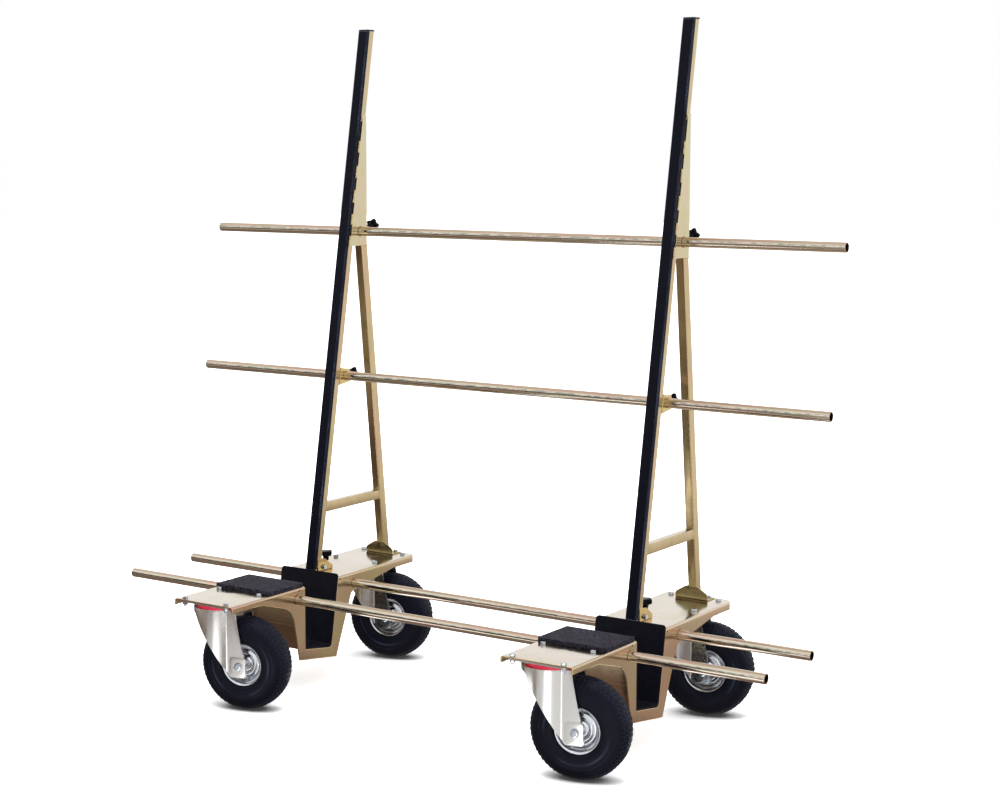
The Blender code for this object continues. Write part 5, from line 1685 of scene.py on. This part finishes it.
# %% [markdown]
# ## Star knobs
# A star knob is moulded in one go: a lobed head with rounded rims, a short hub, and a steel stud. Rings of points
# whose radius swells five times a turn give the head, and the rings shrink towards the top and the bottom.

# %% Star knobs


def star_rings(profile, lobes, depth, steps=80):
    """A lobed solid from rings of (radius, height, lobe share)."""
    points, faces = [], []
    for radius, height, share in profile:
        for i in range(steps):
            angle = 2 * math.pi * i / steps
            swell = radius - depth * share * (1 - math.cos(lobes * angle)) / 2
            points.append((swell * math.cos(angle), swell * math.sin(angle), height))
    for k in range(len(profile) - 1):
        for i in range(steps):
            j = (i + 1) % steps
            faces.append((k * steps + i, k * steps + j, (k + 1) * steps + j, (k + 1) * steps + i))
    last = (len(profile) - 1) * steps
    faces.append(tuple(range(steps))[::-1])
    faces.append(tuple(range(last, last + steps)))
    mesh = bpy.data.meshes.new("star")
    mesh.from_pydata(points, [], faces)
    return taken(workpiece("star", welded(mesh)))


def knob_mesh(reach):
    """A knob whose stud starts at the tube and whose head starts at a reach."""
    start = reach + 0.014
    rims = [
        (0.0165, 0.0, 1), (0.0190, 0.0008, 1), (0.0205, 0.0025, 1), (0.0210, 0.005, 1), (0.0210, 0.010, 1),
        (0.0204, 0.0128, 1), (0.0188, 0.0145, 1), (0.0160, 0.0150, 0.9), (0.0100, 0.0146, 0.3),
    ]
    head = star_rings([(r, start + h, s) for r, h, s in rims], 5, 0.0062)
    hub = taken(
        turned(
            "hub",
            [
                (0, reach), (0.0075, reach), (0.0083, reach + 0.001), (0.0088, reach + 0.010),
                (0.0105, start + 0.001), (0.0105, start + 0.004), (0, start + 0.004),
            ],
            40,
            False,
        ),
    )
    stud = taken(
        turned(
            "stud", [(0, 0.0138), (0.0035, 0.0138), (0.0039, 0.0145), (0.0039, reach + 0.001), (0, reach + 0.001)],
            24, False,
        ),
    )
    return joined("knob", [painted(head, knob_plastic), painted(hub, knob_plastic), painted(stud, bolt_zinc)])


# %% Knobs and welded nuts in place
knob_tilt = math.radians(10)
knobs = {
    "upper_knob": (0.0621, tube_lines["upper_tube"], knob_tilt - math.pi / 2),
    "middle_knob": (0.0313, tube_lines["middle_tube"], -math.pi / 2),
    "base_knob": (0.0558, tube_lines["rear_floor_tube"], 0),
}
collar = joined(
    "collar", [taken(turned("collar", [(0.0042, 0), (0.0075, 0), (0.0075, 0.0065), (0.0042, 0.0065)], 6))],
)
for knob_name, (knob_reach, (knob_y, knob_z), turn) in knobs.items():
    mesh = knob_mesh(knob_reach)
    for unit, unit_x in units.items():
        place = Matrix.Translation((unit_x, knob_y, knob_z)) @ Matrix.Rotation(turn, 4, "X")
        plain = f"{knob_name}_{unit}"
        settle("star_" + plain, mesh, None, plain, place, (plain,))
nut_faces = {
    "upper_knob": (gusset_back - tube_lines["upper_tube"][0]) / math.cos(knob_tilt) - 0.001,
    "middle_knob": bracket_back - middle_y,
}
nut_collars = []
for knob_name, face in nut_faces.items():
    line, turn = knobs[knob_name][1:]
    place = Matrix.Translation((0, *line)) @ Matrix.Rotation(turn, 4, "X") @ Matrix.Translation((0, 0, face))
    nut_collars.append(moved(collar, place))
nut_collars.append(
    moved(collar, Matrix.Translation((0, tube_lines["rear_floor_tube"][0], plat - sheet - 0.0065))),
)
collar_mesh = joined("collars", nut_collars)
settle_on_units(("welded_nuts", collar_mesh, small_zinc, "yellow_zinc"))
print("knobs:", len(knobs) * len(units))

# %% [markdown]
# ## Caster plates
# The plate is bolted under the platform and shows at the front as a thin grey line. Under it are a turned race and
# the king pin, on which the fork swivels.

# %% Caster plates
plate_top = plat - sheet - gap
plate_low = plate_top - 0.004
fork_top = plate_low - gap - 0.0125 - gap
plate = prism(
    "caster_plate",
    [
        rounded_box((-0.086, -0.078), (0.086, 0.078), 0.012),
        *[ring((sx * 0.074, sy * 0.070), 0.0043, 20) for sx in (-1, 1) for sy in (-1, 1)],
    ],
    plate_low,
    plate_top,
    "XY",
)
plate_mesh = taken(plate)
race_low = fork_top + 0.003 + gap
race = taken(
    turned(
        "race",
        [
            (0, plate_low + 0.001), (0.044, plate_low + 0.001), (0.041, plate_low - 0.003), (0.034, race_low + 0.002),
            (0.030, race_low), (0, race_low),
        ],
        64,
        False,
    ),
)
pin_low = fork_top - 0.004 - gap
pin = taken(
    turned(
        "king_pin",
        [
            (0, race_low), (0.0068, race_low), (0.0068, pin_low), (0.0125, pin_low), (0.013, pin_low - 0.001),
            (0.013, pin_low - 0.005), (0.012, pin_low - 0.006), (0, pin_low - 0.006),
        ],
        32,
        False,
    ),
)
plate_set = joined("plate_set", [painted(mesh, plate_zinc) for mesh in (plate_mesh, race, pin)])
for unit, unit_x in units.items():
    for caster, caster_y in casters.items():
        tag = f"{unit}_{caster}"
        place = Matrix.Translation((unit_x, caster_y, 0))
        settle("top_plate_" + tag, plate_set, None, unit + "_unit", place, ["caster_plate_" + tag])
    settle("caster_bolts_" + unit, caster_heads, None, unit + "_unit", at_unit[unit])
    settle("caster_nuts_" + unit, caster_nuts, None, unit + "_unit", at_unit[unit])
print("caster plates:", len(units) * len(casters))

# %% [markdown]
# ## The pressed fork
# The fork is pressed from one sheet: a round nose in front, flat sides behind, and a raised pad round each end of
# the axle. It is drawn as a U seen from above and trimmed by its side view.

# %% Sizes of the fork
fork_inner, fork_outer = 0.047, 0.051
nose_radius = 0.070
nose_centre = nose_radius - 0.080
foot_z = wheel_radius - 0.033

# %% Plan of the fork


def fork_plan(radius, half, far, fold, steps=44):
    """The fork seen from above: a round nose that folds into two flat legs."""
    start = math.asin(half / radius)
    arc = [start + 2 * (math.pi - start) * i / steps for i in range(steps + 1)]
    nose = [(nose_centre + radius * math.cos(a), radius * math.sin(a), 0) for a in arc]
    nose[0], nose[-1] = (*nose[0][:2], fold), (*nose[-1][:2], fold)
    return rounded([(far, half, 0)] + nose + [(far, -half, 0)], 5)


shell = prism("fork", [fork_plan(nose_radius, fork_outer, 0.119, 0.009)], foot_z - 0.02, fork_top, "XY")
shell = workpiece("fork_shell", taken(bevelled(shell, 0.003, 4, 60)))
hollow = prism(
    "fork_hollow", [fork_plan(nose_radius - 0.004, fork_inner, 0.139, 0.013)], foot_z - 0.04, fork_top - 0.004, "XY",
)
heel_slope = (0.099 - 0.0625) / (fork_top - foot_z)
fork_side = rounded(
    [
        (-0.100, fork_top + 0.02, 0), (-0.100, fork_top - 0.0145, 0), (-0.058, fork_top - 0.0145, 0.012),
        (0.047, foot_z, 0.011), (0.099, foot_z, 0.009), (0.0625 - heel_slope * 0.02, fork_top + 0.02, 0),
    ],
    12,
)
cut = prism("fork_side", [fork_side, ring((trail, wheel_radius), 0.0063, 32)], -0.09, 0.09, "XZ")
combine(shell, "INTERSECT", cut)
combine(shell, "DIFFERENCE", hollow)

# %% Axle pads, crown and holes of the fork
pads = []
for side in (-1, 1):
    low, high = sorted((side * (fork_outer - 0.002), side * (fork_outer + 0.003)))
    axle_pad = prism(
        "axle_pad", [rounded_box((trail - 0.027, foot_z + 0.003), (trail + 0.021, foot_z + 0.060), 0.011, 8)], low,
        high, "XZ",
    )
    pads.append(workpiece("axle_pad_done", taken(bevelled(axle_pad, 0.0024))))
lower_race = turned(
    "lower_race",
    [
        (0, fork_top - 0.002), (0.036, fork_top - 0.002), (0.036, fork_top), (0.030, fork_top + 0.003),
        (0, fork_top + 0.003),
    ],
    64,
    False,
)
crown = turned(
    "crown",
    [
        (0, fork_top - 0.004), (0.0700, fork_top - 0.004), (0.0710, fork_top - 0.003), (0.0710, fork_top - 0.001),
        (0.0700, fork_top), (0, fork_top),
    ],
    96,
    False,
)
combine(shell, "UNION", *pads, crown, lower_race)
combine(
    shell, "DIFFERENCE", rod("axle_hole", 0.0063, (trail, -0.09, wheel_radius), (trail, 0.09, wheel_radius)),
    rod("pin_hole", 0.0077, (0, 0, fork_top - 0.03), (0, 0, fork_top + 0.02)),
)
fork_mesh = taken(shell)
seal_top = plate_low - gap
seal = [
    (0.056, seal_top), (0.0675, seal_top), (0.0700, seal_top - 0.0024), (0.0693, seal_top - 0.0100),
    (0.0680, seal_top - 0.0125), (0.056, seal_top - 0.0125),
]
seal_mesh = taken(turned("seal", seal, 96))
print("fork and seal triangles:", triangles(fork_mesh), triangles(seal_mesh))

# %% [markdown]
# ## Axle, rim and tyre
# The wheel is made about its own axis, along Y, and then placed. The rim's profile is a smooth line through a few
# points, turned round. The tyre is a smooth carcass with rows of tread blocks that Geometry Nodes repeat round it.

# %% Axle


def axle_hardware():
    """Bolt, nuts and washers along the wheel's axis."""
    face = fork_outer + 0.003 + gap
    outwards = Matrix.Rotation(math.pi / 2, 4, "X")
    nut = joined(
        "axle_nut",
        [
            washer("axle_washer", 0.006, 0.0118, 0.0014),
            moved(hexagon_head("m12", 0.0178, 0.0068), Matrix.Translation((0, 0, 0.0012))),
        ],
    )
    thread = [(0, 0)] + [(0.0058 - 0.0004 * (i % 2), 0.0008 * i) for i in range(18)] + [(0.0046, 0.0144), (0, 0.0146)]
    tip = taken(turned("thread_end", thread, 28, False))
    parts = [
        moved(nut, Matrix.Translation((0, -face, 0)) @ outwards),
        moved(nut, Matrix.Translation((0, face, 0)) @ outwards.inverted()),
        moved(tip, Matrix.Translation((0, -face + 0.0045, 0)) @ outwards),
        taken(rod("axle", 0.0058, (0, -face - 0.001, 0), (0, face + 0.003, 0), 32)),
    ]
    return joined("axle", parts)


axle_mesh = axle_hardware()
print("axle triangles:", triangles(axle_mesh))

# %% Smooth profiles


def smooth_line(points, steps=5):
    """Points of a rounded line through the given ones."""
    line = []
    for i in range(len(points) - 1):
        p0, p1, p2, p3 = (np.array(points[min(max(k, 0), len(points) - 1)], float) for k in (i - 1, i, i + 1, i + 2))
        for t in np.arange(steps) / steps:
            bend, twist = 2 * p0 - 5 * p1 + 4 * p2 - p3, 3 * p1 - p0 - 3 * p2 + p3
            line.append(tuple(0.5 * (2 * p1 + (p2 - p0) * t + bend * t * t + twist * t ** 3)))
    return line + [tuple(points[-1])]


def other_half(profile):
    """A profile of (radius, width) on the other side of the wheel, run backwards."""
    return [(r, -h) for r, h in reversed(profile)]


# %% Rim and valve
dish = smooth_line(
    [
        (0.0175, 0.0120), (0.0225, 0.0100), (0.0270, 0.0145), (0.0320, 0.0160), (0.0370, 0.0130), (0.0420, 0.0115),
        (0.0462, 0.0150), (0.0478, 0.0215), (0.0492, 0.0275), (0.0525, 0.0310), (0.0560, 0.0335), (0.0584, 0.0346),
        (0.0595, 0.0332), (0.0588, 0.0312), (0.0545, 0.0297), (0.0507, 0.0290),
    ],
    5,
)
hub_end = [(0.0065, 0.0462), (0.0120, 0.0462), (0.0138, 0.0450), (0.0138, 0.0180), (0.0145, 0.0140)]
half_rim = hub_end + dish
rim_profile = half_rim + other_half(half_rim)
rim_mesh = taken(turned("rim", rim_profile, 120, True, "Y"), math.radians(50))
valve = turned(
    "valve",
    [
        (0, -0.020), (0.0026, -0.020), (0.0026, -0.006), (0.0032, -0.005), (0.0032, 0.006), (0.0024, 0.0075),
        (0, 0.0075),
    ],
    20,
    False,
)
valve_mesh = moved(
    taken(valve), Matrix.Translation((0.031, -0.024, -0.031)) @ Matrix.Rotation(math.radians(110), 4, (1, 0, 1)),
)
print("rim triangles:", triangles(rim_mesh))

# %% Tyre carcass
wall = [
    (0.0507, 0.0225), (0.0510, 0.0283), (0.0545, 0.0293), (0.0592, 0.0318), (0.0607, 0.0345), (0.0640, 0.0375),
    (0.0690, 0.0397), (0.0730, 0.0408), (0.0742, 0.0414), (0.0756, 0.0412), (0.0830, 0.0419), (0.0905, 0.0421),
    (0.0952, 0.0419), (0.0962, 0.0424), (0.0974, 0.0417), (0.1040, 0.0407), (0.1110, 0.0385), (0.1167, 0.0353),
    (0.1214, 0.0301), (0.1252, 0.0225), (0.1272, 0.0130), (0.1280, 0.0),
]
outer_wall = smooth_line(wall, 4)
inside = [
    (0.1200, 0.0), (0.1185, 0.0180), (0.1080, 0.0320), (0.0900, 0.0355), (0.0700, 0.0340), (0.0560, 0.0260),
    (0.0507, 0.0200),
]
carcass_profile = outer_wall + other_half(outer_wall[:-1]) + other_half(inside) + inside[1:]
carcass = painted(taken(turned("carcass", carcass_profile, 144, True, "Y"), math.radians(40)), tyre_rubber)
print("carcass triangles:", triangles(carcass))

# %% [markdown]
# A tread block is drawn flat, as a small polygon: how far along the tread, and how far from its middle. Wrapping it
# on the round shoulder gives its base and its top. The rows are shifted by half a pitch, so the grooves zigzag.

# %% One tread block
pitches = 58


def tread_surface(offset, depth):
    """Radius and width of the tread surface at a distance from its middle, a depth below it."""
    across = abs(offset)
    spots, radii, widths = zip(
        (0.0, 0.1300, 0.0), (0.012, 0.1294, 0.0120), (0.022, 0.1272, 0.0218), (0.031, 0.1228, 0.0300),
        (0.038, 0.1170, 0.0352), (0.045, 0.1105, 0.0390),
    )
    tilt = min(across / 0.045, 1.0) * 1.1
    radius = float(np.interp(across, spots, radii)) - depth * math.cos(tilt)
    width = float(np.interp(across, spots, widths)) - depth * math.sin(tilt)
    return radius, math.copysign(width, offset if offset else 1.0)


def tread_block(outline, height, draft=0.0006):
    """A block whose outline is (share of a pitch, distance from the middle)."""
    pitch_angle = 2 * math.pi / pitches
    middle = np.mean(np.array(outline), axis=0)
    points = []
    for depth, shrink in ((height, 0.0), (0.0007, 0.6), (0.0, 1.0)):
        for u, v in outline:
            du, dv = np.array((u, v)) - middle
            v_in = v - math.copysign(draft * shrink, dv) * 1.3
            u_in = u - math.copysign(draft * shrink, du) / (0.128 * pitch_angle) * 1.3
            radius, width = tread_surface(v_in, depth)
            angle = u_in * pitch_angle
            points.append((radius * math.sin(angle), width, radius * math.cos(angle)))
    count = len(outline)
    faces = [tuple(range(2 * count, 3 * count)), tuple(range(count))[::-1]]
    for layer in range(2):
        for i in range(count):
            j = (i + 1) % count
            faces.append((layer * count + i, layer * count + j, (layer + 1) * count + j, (layer + 1) * count + i))
    mesh = bpy.data.meshes.new("tread_block")
    mesh.from_pydata(points, [], faces)
    return workpiece("tread_block", welded(mesh))


def mirrored(outline):
    """The same block on the other side of the tread, half a pitch on."""
    return [(u + 0.5, -v) for u, v in reversed(outline)]


# %% Rows of the tread
rows = [[(-0.40, -0.0045), (-0.10, -0.0075), (0.22, -0.0055), (0.42, 0.0045), (0.12, 0.0075), (-0.22, 0.0055)]]
middle_row = [(-0.30, 0.0098), (0.10, 0.0088), (0.46, 0.0118), (0.52, 0.0190), (0.14, 0.0208), (-0.24, 0.0180)]
shoulder_row = [
    (-0.10, 0.0226), (0.26, 0.0236), (0.54, 0.0226), (0.56, 0.0330), (0.48, 0.0352), (0.02, 0.0352), (-0.06, 0.0330),
]
lug_row = [(0.10, 0.0372), (0.46, 0.0372), (0.42, 0.0418), (0.14, 0.0418)]
rows += [middle_row, mirrored(middle_row), shoulder_row, mirrored(shoulder_row)]
deep, shallow = 0.0046, 0.0024
treads = [
    grown(
        round_axis, point_mesh([(0, 0, 0)]), Shape=tread_block(row, height), Count=pitches, Start=0.0,
        Material=tyre_rubber,
    )
    for row, height in [(row, deep) for row in rows] + [(lug_row, shallow), (mirrored(lug_row), shallow)]
]
tyre_mesh = joined("tyre", [carcass] + treads)
print("tyre triangles:", triangles(tyre_mesh))

# %% [markdown]
# The four casters are alike and turned by the same angle, but each wheel has rolled to a place of its own.

# %% Wheels in place
quarter = {"left_front": 0.3, "left_rear": 2.1, "right_front": 1.2, "right_rear": 4.0}
for unit, unit_x in units.items():
    for caster, caster_y in casters.items():
        tag = f"{unit}_{caster}"
        swivel = Matrix.Translation((unit_x, caster_y, 0)) @ Matrix.Rotation(caster_turn, 4, "Z")
        wheel = swivel @ Matrix.Translation((trail, 0, wheel_radius))
        rolled = wheel @ Matrix.Rotation(quarter[tag], 4, "Y")
        fork_finish = fork_zinc if caster == "front" else rear_fork_shaded_zinc
        for name, mesh, material, body, slot, place, *stands_for in (
            ("pressed_fork_", fork_mesh, fork_finish, "swivel_", "bright_zinc", swivel, "fork_"),
            ("seal_ring_", seal_mesh, red_plastic, "swivel_", "red_seal", swivel, "swivel_seal_"),
            ("axle_set_", axle_mesh, bolt_zinc, "swivel_", "bright_zinc", wheel, "axle_bolt_"),
            ("turned_rim_", rim_mesh, rim_zinc, "wheel_", "rim_zinc", rolled, "rim_"),
            ("valve_", valve_mesh, bolt_zinc, "wheel_", "rim_zinc", rolled),
            ("block_tyre_", tyre_mesh, None, "wheel_", "tyre_rubber", rolled, "tyre_"),
        ):
            settle(name + tag, mesh, material, body + tag, place, [node + tag for node in stands_for])
print("wheels:", len(quarter))

# %% [markdown]
# ## Clearing the bench
# The drawing objects are no part of the cart. Once they are gone, the view transform is set to Standard.

# %% Clear up and finish
for leftover in list(workshop.objects):
    bpy.data.objects.remove(leftover, do_unlink=True)
bpy.data.collections.remove(workshop)
bpy.context.scene.view_settings.view_transform = "Standard"
bpy.context.view_layer.update()
